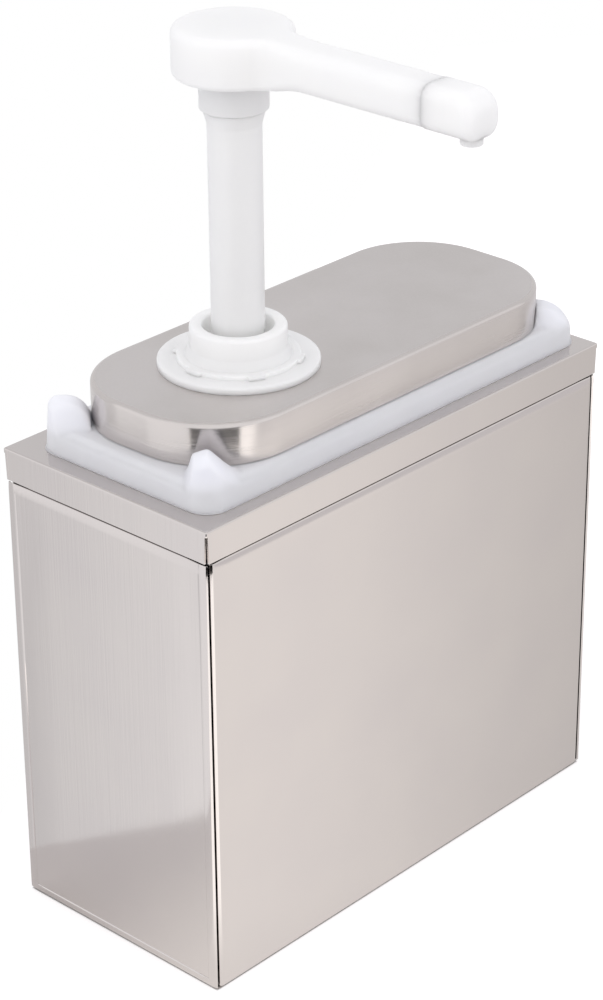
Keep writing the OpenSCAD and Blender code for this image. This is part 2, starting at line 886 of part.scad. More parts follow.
// The head with its neck, and the hollow spout arm
module pump_head() {
    blend_height = arm_height - arm_edge;
    color(pump_white)
        translate([pump_x, 0, 0])
            difference() {
                union() {
                    translate([0, 0, head_bottom])
                        rotate_extrude()
                            head_outline();
                    translate([0, 0, shoulder_top + rest_gap])
                        cylinder(d = neck_d, h = neck_length + head_height / 2);
                    translate([0, 0, arm_level])
                        rotate([90, 0, 0])
                            linear_extrude(arm_reach)
                                round_rect(arm_width, arm_height, arm_edge);
                    translate([0, -arm_reach, arm_level])
                        rotate([90, 0, 0])
                            cylinder(d = cap_spigot_d, h = cap_spigot_length);
                    for (side = [0, 1])
                        mirror([side, 0, 0])
                            translate([0, 0, arm_level - blend_height / 2])
                                linear_extrude(blend_height)
                                    arm_blend_outline();
                }
                translate([0, 0, shoulder_top])
                    cylinder(d = stem_d + 2 * running_gap, h = socket_top - shoulder_top + rest_gap);
                translate([0, 0, shoulder_top])
                    cylinder(d = stem_bore, h = arm_level - shoulder_top + channel_d / 2);
                translate([0, 0, arm_level])
                    rotate([90, 0, 0])
                        cylinder(d = channel_d, h = channel_end + over);
            }
}

// Side outline of the spout cap, x forwards from the arm's end
module cap_outline() {
    translate([0, -cap_height / 2])
        square([cap_length - nose_radius, cap_height]);
    translate([0, -cap_height / 2])
        square([cap_length, cap_height - nose_radius]);
    translate([cap_length - nose_radius, cap_height / 2 - nose_radius])
        circle(nose_radius);
}

// The spout cap on the end of the arm, with the nozzle under it
module spout_cap() {
    color(pump_white)
        translate([pump_x, -arm_reach, arm_level])
            difference() {
                union() {
                    intersection() {
                        rotate([90, 0, 0])
                            linear_extrude(cap_length)
                                round_rect(cap_width, cap_height, arm_edge + cap_proud);
                        rotate([90, 0, -90])
                            linear_extrude(cap_width, center = true)
                                cap_outline();
                    }
                    translate([0, nozzle_y, nozzle_bottom])
                        cylinder(d = nozzle_d, h = -nozzle_bottom);
                }
                translate([0, over, 0])
                    rotate([90, 0, 0])
                        cylinder(d = cap_spigot_d + 2 * running_gap, h = cap_spigot_length + rest_gap + over);
                rotate([90, 0, 0])
                    cylinder(d = channel_d, h = nozzle_d / 2 - nozzle_y);
                translate([0, nozzle_y, nozzle_bottom - over])
                    cylinder(d = nozzle_bore, h = over - nozzle_bottom);
            }
}

base_plate();
near_side_panel();
far_side_panel();
left_end_panel();
right_end_panel();
top_collar();
food_jar();
lid_shell();
cylinder_gasket();
pump_cylinder();
lock_nut();
wiper_seal();
foot_valve();
foot_seal();
inlet_ball_cage();
inlet_ball();
dip_tube();
return_spring();
piston();
piston_seals();
outlet_ball();
stem();
outlet_ball_cage();
pump_head();
spout_cap();
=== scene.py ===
"""Looks of a counter-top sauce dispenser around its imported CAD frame. Sizes are in millimetres."""

import logging
import math
from dataclasses import dataclass
from enum import Enum

import bmesh
import bpy
import numpy as np
from bpy.types import Material, Node, NodeSocket, NodeTree, Object
from mathutils import Matrix, Vector


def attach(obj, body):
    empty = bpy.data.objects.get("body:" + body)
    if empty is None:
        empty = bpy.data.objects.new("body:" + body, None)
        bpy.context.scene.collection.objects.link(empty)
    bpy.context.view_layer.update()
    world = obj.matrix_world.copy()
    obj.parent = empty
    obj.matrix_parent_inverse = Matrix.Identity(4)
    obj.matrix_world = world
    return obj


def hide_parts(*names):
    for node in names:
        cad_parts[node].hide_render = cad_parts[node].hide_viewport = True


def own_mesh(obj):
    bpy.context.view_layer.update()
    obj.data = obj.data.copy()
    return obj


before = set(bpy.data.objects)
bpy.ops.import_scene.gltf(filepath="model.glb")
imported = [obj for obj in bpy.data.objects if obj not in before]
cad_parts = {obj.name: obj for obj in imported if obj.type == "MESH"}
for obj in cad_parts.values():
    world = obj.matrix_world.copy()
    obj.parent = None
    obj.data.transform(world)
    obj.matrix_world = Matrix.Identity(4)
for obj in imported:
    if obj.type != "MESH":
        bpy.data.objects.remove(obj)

Array = np.ndarray
Pair = tuple[float, float]
MM = 0.001
HAIR = 0.01
PUMP_X = -42.8
log = logging.getLogger("sauce_dispenser")


class Body(Enum):
    """The CAD bodies that pieces ride on."""

    CASING = "casing"
    JAR = "jar"
    LID = "lid"
    HEAD = "head"


class Slot(Enum):
    """The record's material slots."""

    CASING = "casing_steel"
    LID = "lid_steel"
    JAR = "jar_polyethylene"
    PUMP = "pump_polypropylene"
    SEAL = "seal_rubber"
    SPRING = "spring_steel"


@dataclass
class Shell:
    """A mesh in the making: points in millimetres, and quads that index them."""

    points: Array
    quads: Array


def linear(colour: str) -> tuple[float, float, float, float]:
    """Turn an sRGB hex colour into linear light.

    Args:
        colour: Hex colour such as "#c0c0c0".

    Returns:
        Linear red, green, blue and an alpha of one.
    """
    srgb = np.array([int(colour[i:i + 2], 16) for i in (1, 3, 5)]) / 255
    light = np.where(srgb <= 0.04045, srgb / 12.92, ((srgb + 0.055) / 1.055) ** 2.4)
    return (*light.tolist(), 1.0)


def feed(node: Node, inputs: dict) -> None:
    """Set or link a node's sockets.

    Args:
        node: Node that is fed.
        inputs: Sockets by name or number, each with a value, with the output that feeds it or with
            the node whose first output does.
    """
    for key, value in inputs.items():
        source = value.outputs[0] if isinstance(value, Node) else value
        if isinstance(source, NodeSocket):
            node.id_data.links.new(source, node.inputs[key])
        else:
            node.inputs[key].default_value = source


def add(tree: NodeTree, kind: str, inputs: dict | None = None, **settings) -> Node:
    """Add a node with its settings and links.

    Args:
        tree: Node tree that gets the node.
        kind: Blender's type name of the node, after "ShaderNode".
        inputs: What feeds its sockets.
        settings: Properties of the node.

    Returns:
        The new node.
    """
    node = tree.nodes.new("ShaderNode" + kind)
    for name, value in settings.items():
        setattr(node, name, value)
    feed(node, inputs or {})
    return node


def ease(value: Array, low: float, high: float) -> Array:
    """Smooth step: 0 below low, 1 above high, and 3t^2 - 2t^3 in between."""
    share = np.clip((value - low) / (high - low), 0, 1)
    return share * share * (3 - 2 * share)


def quarter(points: int) -> Array:
    """Even angles from 0 to a quarter turn."""
    return np.linspace(0, math.pi / 2, points)


def between(count: int) -> Array:
    """Even shares of the way from 0 to 1, without the ends."""
    return np.linspace(0, 1, count + 2)[1:-1]


def unit(angle: Array) -> Array:
    """Unit directions (cos a, sin a)."""
    return np.stack([np.cos(angle), np.sin(angle)], axis=-1)


def chain(*parts: float | Array) -> Array:
    """Put numbers and rows of numbers into one row."""
    return np.concatenate([np.atleast_1d(part) for part in parts])


def grid_shell(
    grid: Array, close_rows: bool = False, close_columns: bool = False, keep: Array | None = None
) -> Shell:
    """Join a grid of points into quads.

    Args:
        grid: Points, rows by columns by three.
        close_rows: Join the last row to the first.
        close_columns: Join the last column to the first.
        keep: Which quads stay, rows by columns.

    Returns:
        The shell, with quads that turn from the columns' direction to the rows' direction.
    """
    rows, columns = grid.shape[:2]
    index = np.arange(rows * columns).reshape(rows, columns)
    index = np.concatenate([index, index[:1]]) if close_rows else index
    index = np.concatenate([index, index[:, :1]], axis=1) if close_columns else index
    quads = np.stack([index[:-1, :-1], index[:-1, 1:], index[1:, 1:], index[1:, :-1]], axis=-1)
    quads = quads[keep] if keep is not None else quads.reshape(-1, 4)
    return Shell(grid.reshape(-1, 3), quads)


def joined(*shells: Shell) -> Shell:
    """Put several shells into one."""
    starts = np.cumsum([0, *[len(shell.points) for shell in shells]])
    quads = np.concatenate([shell.quads + start for shell, start in zip(shells, starts)])
    return Shell(np.concatenate([shell.points for shell in shells]), quads)


def rounded(corners: list) -> Array:
    """Round the corners of a closed polygon, whose points are taken as complex numbers.

    Each corner becomes an arc: it starts one tangent length, radius times the tangent of half the
    turn, before the corner, and turns about the centre that lies one radius to its inner side.

    Args:
        corners: Two coordinates and a radius for each corner, in order.

    Returns:
        The rounded outline, points by two, with six points on each arc.
    """
    x, y, radius = np.array(corners, float).T
    point = x + 1j * y
    way_in = point - np.roll(point, 1)
    way_in = way_in / np.abs(way_in)
    turn = np.angle(np.roll(way_in, -1) / way_in)
    start = point - way_in * radius * np.tan(np.abs(turn) / 2)
    centre = start + way_in * 1j * np.sign(turn) * radius
    swing = np.exp(1j * turn[:, None] * np.linspace(0, 1, 6))
    arcs = (centre[:, None] + (start - centre)[:, None] * swing).ravel()
    return np.stack([arcs.real, arcs.imag], axis=-1)


def ring_rows(
    half_x: Array, half_y: Array, corner: Array, stops: Array, steps: int, tail: Array | None = None
) -> Array:
    """Rounded rectangles, one a row, whose points match from row to row.

    A corner is a quarter arc about a centre one radius inside both sides. Between two corners the
    side is a straight line with points at the given shares of its length.

    Args:
        half_x: Half length of each row.
        half_y: Half width of each row.
        corner: Corner radius of each row.
        stops: Shares along a side, between 0 and 1.
        steps: Points on each corner.
        tail: Distance from the sharp corner of one more point on each side of it, per row.

    Returns:
        Points, rows by columns by two, counterclockwise from the +X +Y corner.
    """
    hx, hy, r = (np.asarray(value, float)[:, None] for value in (half_x, half_y, corner))
    pieces = []
    for turn, (sx, sy) in enumerate([(1, 1), (-1, 1), (-1, -1), (1, -1)]):
        angle = quarter(steps)[None, :] + turn * math.pi / 2
        x = sx * (hx - r) + r * np.cos(angle)
        y = sy * (hy - r) + r * np.sin(angle)
        bend = np.stack([x, y], axis=-1)
        if tail is not None:
            reach = np.asarray(tail, float)[:, None]
            on_x = np.stack([sx * (hx - reach), sy * hy], axis=-1)
            on_y = np.stack([sx * hx, sy * (hy - reach)], axis=-1)
            bend = np.concatenate([on_y, bend, on_x] if sx * sy > 0 else [on_x, bend, on_y], axis=1)
        pieces.append(bend)
    share = np.asarray(stops, float)[None, :, None]
    sides = [
        pieces[i][:, -1:] * (1 - share) + pieces[(i + 1) % 4][:, :1] * share for i in range(4)
    ]
    return np.concatenate([part for pair in zip(pieces, sides) for part in pair], axis=1)


def raised(flat: Array, height: Array) -> Array:
    """Give rows of flat points a height, one per row or one per point."""
    height = np.broadcast_to(np.asarray(height, float).reshape(len(flat), -1), flat.shape[:2])
    return np.concatenate([flat, height[..., None]], axis=-1)


def capped(flat: Array, height: Array) -> Array:
    """Raise rings round the origin, and close the first and the last one to their middle."""
    middle = np.zeros_like(flat[:1])
    height = np.concatenate([height[:1], height, height[-1:]])
    return raised(np.concatenate([middle, flat, middle]), height)


def put(name: str, data: bpy.types.ID) -> Object:
    """Make an object of some data and put it in the scene."""
    thing = bpy.data.objects.new(name, data)
    bpy.context.scene.collection.objects.link(thing)
    return thing


def lathe(profile: Array, turns: int = 96, y: float = 0.0) -> Shell:
    """Turn a closed profile round an upright axis in the pump's plane.

    A point at radius r and height z goes to (X + r cos a, y + r sin a, z) for each angle a, where X
    is the pump's.

    Args:
        profile: Radius and height of each point, in order round the section.
        turns: Points round the axis.
        y: Place of the axis.

    Returns:
        The closed shell.
    """
    angle = np.linspace(0, 2 * math.pi, turns, endpoint=False)[None, :]
    r, z = profile[:, :1], profile[:, 1:]
    grid = np.stack([PUMP_X + r * np.cos(angle), y + r * np.sin(angle), z + 0 * angle], axis=-1)
    return grid_shell(grid, close_rows=True, close_columns=True)


def ladder(right: Array, left: Array) -> Shell:
    """Fill between two lines of points with straight rungs: right (1 - t) + left t."""
    share = np.linspace(0, 1, 9)[None, :, None]
    return grid_shell(right[:, None] * (1 - share) + left[:, None] * share)


def make_piece(name: str, shell: Shell, closed: bool = True, sharp: float = 32) -> Object:
    """Make a smooth-shaded mesh object from a shell.

    Args:
        name: Name of the piece.
        shell: Points and quads.
        closed: Recalculate the normals outwards, for a closed form.
        sharp: Angle in degrees past which an edge is drawn sharp.

    Returns:
        The object, at the origin.
    """
    mesh = bpy.data.meshes.new(name)
    mesh.from_pydata((shell.points * MM).tolist(), [], shell.quads.tolist())
    form = bmesh.new()
    form.from_mesh(mesh)
    bmesh.ops.remove_doubles(form, verts=form.verts, dist=2e-6)
    bmesh.ops.dissolve_degenerate(form, edges=form.edges, dist=1e-6)
    loose = [vert for vert in form.verts if not vert.link_faces]
    bmesh.ops.delete(form, geom=loose, context="VERTS")
    if closed:
        bmesh.ops.recalc_face_normals(form, faces=form.faces)
    form.to_mesh(mesh)
    form.free()
    mesh.polygons.foreach_set("use_smooth", np.ones(len(mesh.polygons), bool))
    mesh.set_sharp_from_angle(angle=math.radians(sharp))
    mesh.update()
    return put(name, mesh)


def thicken(piece: Object, sheet: float, edge: float = 0.15) -> None:
    """Give an open sheet its thickness inwards and soft cut edges, and keep that as its mesh.

    Args:
        piece: Sheet whose faces point outwards.
        sheet: Thickness of the sheet.
        edge: Width of the soft edges.
    """
    wall = piece.modifiers.new("sheet", "SOLIDIFY")
    wall.thickness, wall.offset, wall.use_even_offset = sheet * MM, -1, True
    soft = piece.modifiers.new("edges", "BEVEL")
    soft.width, soft.segments, soft.limit_method = edge * MM, 2, "ANGLE"
    soft.angle_limit = math.radians(50)
    even = piece.modifiers.new("even", "WEIGHTED_NORMAL")
    even.weight, even.keep_sharp = 100, True
    graph = bpy.context.evaluated_depsgraph_get()
    mesh = bpy.data.meshes.new_from_object(piece.evaluated_get(graph))
    piece.modifiers.clear()
    piece.data = mesh


def settle(piece: Object, body: Body, slot: Slot, material: Material, *nodes: str) -> None:
    """Dress a piece, let it ride on its body and stand for its CAD nodes.

    Args:
        piece: The finished mesh object.
        body: Body that it rides on.
        slot: Material slot of the record; not used.
        material: Its finish.
        nodes: CAD nodes that it replaces.
    """
    piece.data.materials.clear()
    piece.data.materials.append(material)
    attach(piece, body.value)
    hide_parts(*nodes)
    log.info("%s: %d faces on %s", piece.name, len(piece.data.polygons), body.value)


@dataclass(frozen=True)
class Finish:
    """A surface with fine grain and slow clouds: sizes in millimetres, and their noises' detail."""

    name: str
    colour: str
    shade: str
    roughness: Pair
    grain: tuple[float, float, float] = (0.5, 0.5, 0.5)
    cloud: float = 45.0
    bump: float = 0.02
    details: Pair = (3.0, 4.0)

    def material(self) -> Material:
        """Build the material: clouds drive its colour, and grain drives its roughness and bump.

        Returns:
            The material.
        """
        material = bpy.data.materials.new(self.name)
        material.use_nodes = True
        tree = material.node_tree
        place = add(tree, "TexCoord").outputs["Object"]
        stretch = tuple(1 / (size * MM) for size in self.grain)
        lines = add(tree, "Mapping", {"Vector": place, "Scale": stretch})
        fine, slow = self.details
        low, high = self.roughness
        grain = add(tree, "TexNoise", {"Vector": lines, "Scale": 1.0, "Detail": fine})
        cloud = {"Vector": place, "Scale": 1 / (self.cloud * MM), "Detail": slow}
        cloud = add(tree, "MapRange", {"Value": add(tree, "TexNoise", cloud), 1: 0.35, 2: 0.7})
        tone = {0: cloud, 6: linear(self.colour), 7: linear(self.shade)}
        shader = tree.nodes["Principled BSDF"]
        feed(shader, {
            "Base Color": add(tree, "Mix", tone, data_type="RGBA").outputs[2],
            "Roughness": add(tree, "MapRange", {"Value": grain, 1: 0.3, 2: 0.7, 3: low, 4: high}),
            "Normal": add(tree, "Bump", {"Height": grain, "Strength": self.bump, "Distance": MM}),
        })
        return material


@dataclass(frozen=True)
class SteelFinish(Finish):
    """Stainless steel: a grey mirror that is dulled by fine grain and faint smears."""

    wave: float = 0.0
    wave_size: float = 90.0
    brushing: float = 0.0

    def material(self) -> Material:
        """Build it as metal. A sheet waves slowly, and brushing spreads reflections up and down.

        Returns:
            The material.
        """
        material = super().material()
        tree = material.node_tree
        shader = tree.nodes["Principled BSDF"]
        feed(shader, {"Metallic": 1.0})
        if self.wave:
            place = add(tree, "TexCoord").outputs["Object"]
            slow = {"Vector": place, "Scale": 1 / (self.wave_size * MM), "Detail": 1.0}
            wave = {"Height": add(tree, "TexNoise", slow), "Strength": self.wave, "Distance": MM}
            wave["Normal"] = shader.inputs["Normal"].links[0].from_socket
            feed(shader, {"Normal": add(tree, "Bump", wave)})
        if self.brushing:
            around = add(tree, "Tangent", direction_type="RADIAL", axis="Z")
            brushed = {"Anisotropic": self.brushing, "Anisotropic Rotation": 0.25}
            feed(shader, {**brushed, "Tangent": around})
        return material


@dataclass(frozen=True)
class PlasticFinish(Finish):
    """Moulded plastic: a soft-lit body under a smooth or lightly grained skin."""

    cloud: float = 30.0
    details: Pair = (2.0, 3.0)
    ior: float = 1.49
    subsurface: float = 0.0
    depth: float = 2.0

    def material(self) -> Material:
        """Build it with light inside, as deep as its depth in millimetres.

        Returns:
            The material.
        """
        material = super().material()
        feed(material.node_tree.nodes["Principled BSDF"], {
            "IOR": self.ior, "Subsurface Weight": self.subsurface,
            "Subsurface Radius": (1.0, 1.0, 1.0), "Subsurface Scale": self.depth * MM,
        })
        return material


# Cold-rolled stainless sheet with a fine upright grain: bright, soft-edged reflections. Real lines
# are under 0.1 mm wide and are drawn 0.7 mm wide, so that they show.
CASING_STEEL = SteelFinish(
    "stainless_sheet_satin", "#d5cfcc", "#d2ccca", (0.10, 0.15), (0.7, 0.7, 60.0), wave=0.002
)
# Deep-drawn stainless, brushed round its side: upright streaks of light and dark. Its scratches
# are drawn 0.5 mm wide, so that they show.
LID_WALL_STEEL = SteelFinish(
    "stainless_drawn_brushed", "#d8d2cf", "#d2ccc9", (0.20, 0.28), (50.0, 50.0, 0.5), bump=0.05,
    brushing=0.85,
)
# The same sheet on the lid's top, blasted satin: an even soft sheen. The grit's marks of 0.1 mm
# are drawn 0.9 mm wide, so that they show.
LID_TOP_STEEL = SteelFinish(
    "stainless_drawn_satin", "#d8d3d1", "#d0cbc8", (0.34, 0.42), (0.9, 0.9, 0.9)
)
# Bare plate under the casing, its colour painted dark: painted shade that draws a dark line along
# the casing's foot. Its rolling lines are drawn 0.9 mm wide to show.
BASE_PAINTED_SHADE_STEEL = SteelFinish(
    "stainless_plate_painted_shade", "#8d8784", "#827c79", (0.25, 0.36), (50.0, 0.9, 0.9)
)
# Hard-drawn stainless spring wire: bright along the wire.
SPRING_STEEL = SteelFinish(
    "stainless_spring_wire", "#c2bebb", "#b2aeab", (0.18, 0.28), (1.2, 1.2, 0.4)
)
# Ground and polished valve ball: a clean mirror.
BALL_STEEL = SteelFinish(
    "stainless_ball_polished", "#d0ccca", "#c8c4c2", (0.04, 0.07), (2.0, 2.0, 2.0)
)
# Natural polyethylene: milky, bluish in the shade, a waxy soft gloss.
JAR_PLASTIC = PlasticFinish(
    "polyethylene_milky", "#edeef3", "#e9eaf0", (0.36, 0.46), ior=1.51, subsurface=0.8, depth=6.0
)
# White polypropylene, injection moulded: clean white with a broad soft highlight.
PUMP_PLASTIC = PlasticFinish(
    "polypropylene_white", "#f6f6f4", "#f4f4f3", (0.30, 0.38), subsurface=0.7, depth=8.0
)
# Grey silicone: soft, dull and slightly mottled.
SEAL_SILICONE = PlasticFinish(
    "silicone_grey", "#8d8f92", "#83858a", (0.5, 0.62), cloud=6.0, ior=1.43
)


@dataclass
class Casing:
    """The folded steel casing: a base plate, four walls and the collar on top."""

    steel: Material
    plate: Material
    wall_x: float = 120.0
    wall_y: float = 56.1
    sheet: float = 0.8
    bend: float = 1.5
    foot_bend: float = 1.0
    edge_bends: tuple[Pair, ...] = ((20.0, 7.0), (2.0, 38.0))
    tab_turn: float = 120.0
    base_top: float = 0.8
    base_inset: float = 1.0
    base_edge: float = 0.2
    fold: float = 8.0
    end_gap: float = 3.8
    seam: float = 0.3
    levels: tuple = (60.0, 110.0, 160.0)
    wall_top: float = 190.6
    neck_bends: tuple[Pair, ...] = ((16.0, 14.0), (0.8, 70.0))
    neck_fade: Pair = (3.0, 0.3)
    neck_end: float = 0.3
    strip_step: float = 0.3
    strip_top: float = 208.2
    margin_x: float = 0.8
    margin_z: float = 2.4
    groove: float = 0.3
    groove_half: float = 0.4
    collar_x: float = 120.3
    collar_y: float = 56.4
    skirt_bottom: float = 196.2
    top: float = 210.0
    collar_bend: float = 0.8
    slit_start: float = 207.8
    slit_top: float = 0.8
    slit_bottom: float = 1.3
    opening_x: float = 104.0
    opening_y: float = 44.0
    opening_corner: float = 35.4
    rim_rows: Pair = (3.0, 3.5)
    sharp_corner: float = 0.5

    def wall(self, half_flat: float, groove: float, path: Array, inward: Array) -> Shell:
        """One folded wall that stands along X with its face towards -Y, as an open sheet.

        A plan path carries an upright section: each point moves inwards from the path by the
        section's depth. The section is the flange, a quarter bend, the wall, bends inwards at its
        neck and the strip behind the collar. The bends at the wall's ends follow the lower bend as
        round corners, and the neck gets shallow there. A shallow groove runs near the edges.

        Args:
            half_flat: Half length of the flat face.
            groove: Depth of the groove.
            path: Plan points of the outer face.
            inward: Unit directions into the casing at these points.

        Returns:
            The open shell, facing outwards.
        """
        turn = quarter(7)
        start = self.base_top + self.foot_bend
        line, side = start + self.margin_z, self.groove_half
        rise = np.array([line - side, line, line + side, *self.levels])
        neck_z, neck_in = (self.arcs(self.neck_bends)[0] + [self.wall_top, 0]).T
        height = chain(
            self.base_top, start - self.foot_bend * np.cos(turn), rise, neck_z,
            neck_z[-1] + self.strip_step, self.strip_top,
        )
        depth = chain(
            self.fold, self.foot_bend * (1 - np.sin(turn)), 0 * rise, neck_in, neck_in[-1],
            neck_in[-1],
        )
        z, x = height[:, None], np.abs(path[:, 0])[None, :]
        groove_z = np.where(np.isclose(z, line), groove, 0)
        groove_x = np.where(np.isclose(x, half_flat - self.margin_x), groove, 0)
        upright = (z > line - HAIR) & (z < self.wall_top - HAIR)
        inside = x < half_flat - self.margin_x + HAIR
        at_end = ease(x, half_flat - self.neck_fade[0], half_flat + self.neck_fade[1])
        shallow = np.where(z > self.wall_top, 1 - (1 - self.neck_end) * at_end, 1)
        inset = depth[:, None] * shallow + np.maximum(groove_z * inside, groove_x * upright)
        grid = raised(path[None] + inward[None] * inset[..., None], height)
        middle_x = np.abs(path[1:, 0] + path[:-1, 0])[None, :] / 2
        middle_z = (height[1:] + height[:-1])[:, None] / 2
        # A tab that has turned past a right angle gets no bends below and above it.
        outer = (inward[1:, 1] + inward[:-1, 1])[None, :] > -2 * HAIR
        on_flange, on_strip = middle_z < self.base_top + HAIR, middle_z > neck_z[-1]
        on_wall = (middle_z > start) & (middle_z < self.wall_top)
        on_bends = (middle_z > self.base_top + HAIR) & (middle_z < neck_z[-1]) & outer
        folded = (on_flange | on_strip) & (middle_x < half_flat - self.fold)
        return grid_shell(grid, keep=on_wall | on_bends | folded)

    @staticmethod
    def arcs(bends: tuple[Pair, ...]) -> tuple[Array, Array]:
        """Arcs in a row, each of which carries on from the end and heading of the one before it.

        Args:
            bends: Radius and angle in degrees of each arc.

        Returns:
            Distance along the start's direction and depth beside it at each point, and headings.
        """
        place, heading, points, turns = np.zeros(2), 0.0, [], []
        for radius, degrees in bends:
            turn = heading + np.radians(np.linspace(0, degrees, 9))
            along, beside = np.sin(turn) - math.sin(heading), math.cos(heading) - np.cos(turn)
            points.append(place + radius * np.stack([along, beside], axis=-1))
            turns.append(turn)
            place, heading = points[-1][-1], turn[-1]
        return np.concatenate(points), np.concatenate(turns)

    def plan(self, edge: float, bends: tuple, tab: float, stops: list) -> tuple[Array, Array]:
        """Plan path of a wall: a tab, bends, the flat face, bends and a tab.

        Args:
            edge: Half length of the wall with its bends, before any tab.
            bends: Radius and angle in degrees of each bend at an end.
            tab: Length of the tabs, which start one radius past the bends.
            stops: Places along the right half of the flat face, from its end.

        Returns:
            Points relative to the wall's face at y = 0, and the inward directions there.
        """
        right, turn = self.arcs(bends)
        facing = np.stack([-np.sin(turn), np.cos(turn)], axis=-1)
        start = edge - right[:, 0].max()
        if tab:
            foot = right[-1] + bends[-1][0] * unit(turn[-1])
            right = np.concatenate([right, [foot, foot + [0, tab]]])
            facing = np.concatenate([facing, facing[-1:], [[-1.0, 0.0]]])
        flat = np.stack([np.array(stops), np.zeros(len(stops))], axis=-1)
        path = np.concatenate([flat, right]) + [start, 0]
        inward = np.concatenate([np.broadcast_to([0.0, 1.0], flat.shape), facing])
        flip = np.array([-1.0, 1.0])
        return tuple(np.concatenate([half[::-1] * flip, half]) for half in (path, inward))

    def walls(self) -> None:
        """Build the four walls: the side walls have corner tabs, the end walls a rolled edge."""
        fold, line, groove = self.fold, -self.margin_x, self.groove_half
        half, bends = self.wall_x - self.end_gap, ((self.bend, self.tab_turn),)
        path, inward = self.plan(half + self.bend, bends, fold / 2, [-90, -40, -fold, -0.5])
        side = self.wall(half, 0.0, path + [0, -self.wall_y], inward)
        stops = [-35, -20, -fold, line - groove, line, line + groove]
        path, inward = self.plan(self.wall_y - self.seam, self.edge_bends, 0, stops)
        last_stop = len(path) // 2 + len(stops) - 1
        end = self.wall(path[last_stop, 0], self.groove, path + [0, -self.wall_x], inward)
        turns = {"near": (side, 0), "left": (end, -90), "far": (side, 180), "right": (end, 90)}
        for name, (shell, angle) in turns.items():
            turned = shell.points @ np.array(Matrix.Rotation(math.radians(angle), 3, "Z")).T
            kind = "side" if shell is side else "end"
            piece = make_piece(f"{name}_wall_sheet", Shell(turned, shell.quads), closed=False)
            thicken(piece, self.sheet)
            settle(piece, Body.CASING, Slot.CASING, self.steel, f"{name}_{kind}_panel")

    def base(self) -> None:
        """Build the base plate: rings up its soft edge, closed to the middle below and above."""
        edge, sheet = self.base_edge, self.sheet
        soft = np.array([sheet, edge, 0.0, 0.0, edge, sheet]) + self.base_inset
        height = np.array([0.0, 0.0, edge, sheet - edge, sheet, sheet])
        flat = ring_rows(self.wall_x - soft, self.wall_y - soft, np.ones(6), between(6), 7)
        piece = make_piece("base_sheet", grid_shell(capped(flat, height), close_columns=True))
        # The plate's dark colour is painted shade along the casing's foot.
        settle(piece, Body.CASING, Slot.CASING, self.plate, "base_plate")

    def collar(self) -> None:
        """Build the collar: rectangles from the skirt over the bend to the opening.

        The rings shrink by the bend's quarter circle and end at the opening. Below the slits' start
        the corner quads are left out, and the edges there part towards the bottom.
        """
        turn, steps = quarter(8), 9
        inset = chain(0, 0, self.collar_bend * (1 - np.cos(turn)), self.rim_rows)
        height = chain(
            self.skirt_bottom, self.slit_start, self.top - self.collar_bend * (1 - np.sin(turn)),
            np.full(3, self.top),
        )
        half_x = chain(self.collar_x - inset, self.opening_x)
        half_y = chain(self.collar_y - inset, self.opening_y)
        corner = chain(np.full(len(inset), self.sharp_corner), self.opening_corner)
        slit = np.full(len(inset) - 1, self.slit_top)
        tail = chain(self.slit_bottom, slit, self.opening_corner + self.sharp_corner)
        grid = raised(ring_rows(half_x, half_y, corner, between(12), steps, tail), height)
        columns = grid.shape[1]
        keep = np.ones((len(height) - 1, columns), bool)
        keep[0] = np.arange(columns) % (columns // 4) >= steps + 1
        sheet = grid_shell(grid, close_columns=True, keep=keep)
        piece = make_piece("collar_sheet", sheet, closed=False)
        thicken(piece, self.sheet)
        settle(piece, Body.CASING, Slot.CASING, self.steel, "top_collar")


@dataclass
class Lid:
    """The drawn lid with round corners and a hole for the pump's neck."""

    wall_steel: Material
    top_steel: Material
    x: float = 6.0
    half_x: float = 109.0
    half_y: float = 45.3
    corner: float = 37.0
    bottom: float = 220.6
    top: float = 238.1
    edge: float = 2.0
    sheet: float = 0.8
    rim: Pair = (0.1, 0.4)
    hole: float = 17.3
    top_band: float = 0.02

    def build(self) -> None:
        """Build the lid: rings up the wall, over a quarter-circle edge, to the hole and back."""
        turn = quarter(13)
        sheet, edge, top = self.sheet, self.edge, self.top
        inner, cut = edge - sheet, self.rim[0]
        rim_z = self.bottom + chain(0, *self.rim)
        rings = [
            ring_rows(self.half_x - row, self.half_y - row, self.corner - row, between(20), 25)
            + [self.x, 0]
            for row in (
                chain(sheet / 2, cut, 0, edge * (1 - np.cos(turn))),
                chain(edge - inner * np.sin(turn), sheet, sheet - cut, sheet / 2),
            )
        ]
        away = rings[0][-1] - [PUMP_X, 0]
        circle = away / np.linalg.norm(away, axis=1, keepdims=True) * self.hole + [PUMP_X, 0]
        share = np.linspace(0, 1, 10)[1:, None, None]
        across = rings[0][-1] * (1 - share) + circle * share
        flat = np.concatenate([rings[0], across, across[::-1], rings[1]])
        height = chain(
            rim_z, top - edge * (1 - np.sin(turn)), np.full(len(across), top),
            np.full(len(across), top - sheet), top - sheet - inner * (1 - np.cos(turn)),
            rim_z[::-1],
        )
        shell = grid_shell(raised(flat, height), close_rows=True, close_columns=True)
        piece = make_piece("drawn_lid", shell)
        settle(piece, Body.LID, Slot.LID, self.wall_steel, "lid_shell")
        piece.data.materials.append(self.top_steel)
        centres = np.empty(3 * len(piece.data.polygons))
        piece.data.polygons.foreach_get("center", centres)
        on_top = centres[2::3] > (top - self.top_band) * MM
        piece.data.polygons.foreach_set("material_index", on_top.astype(np.int32))


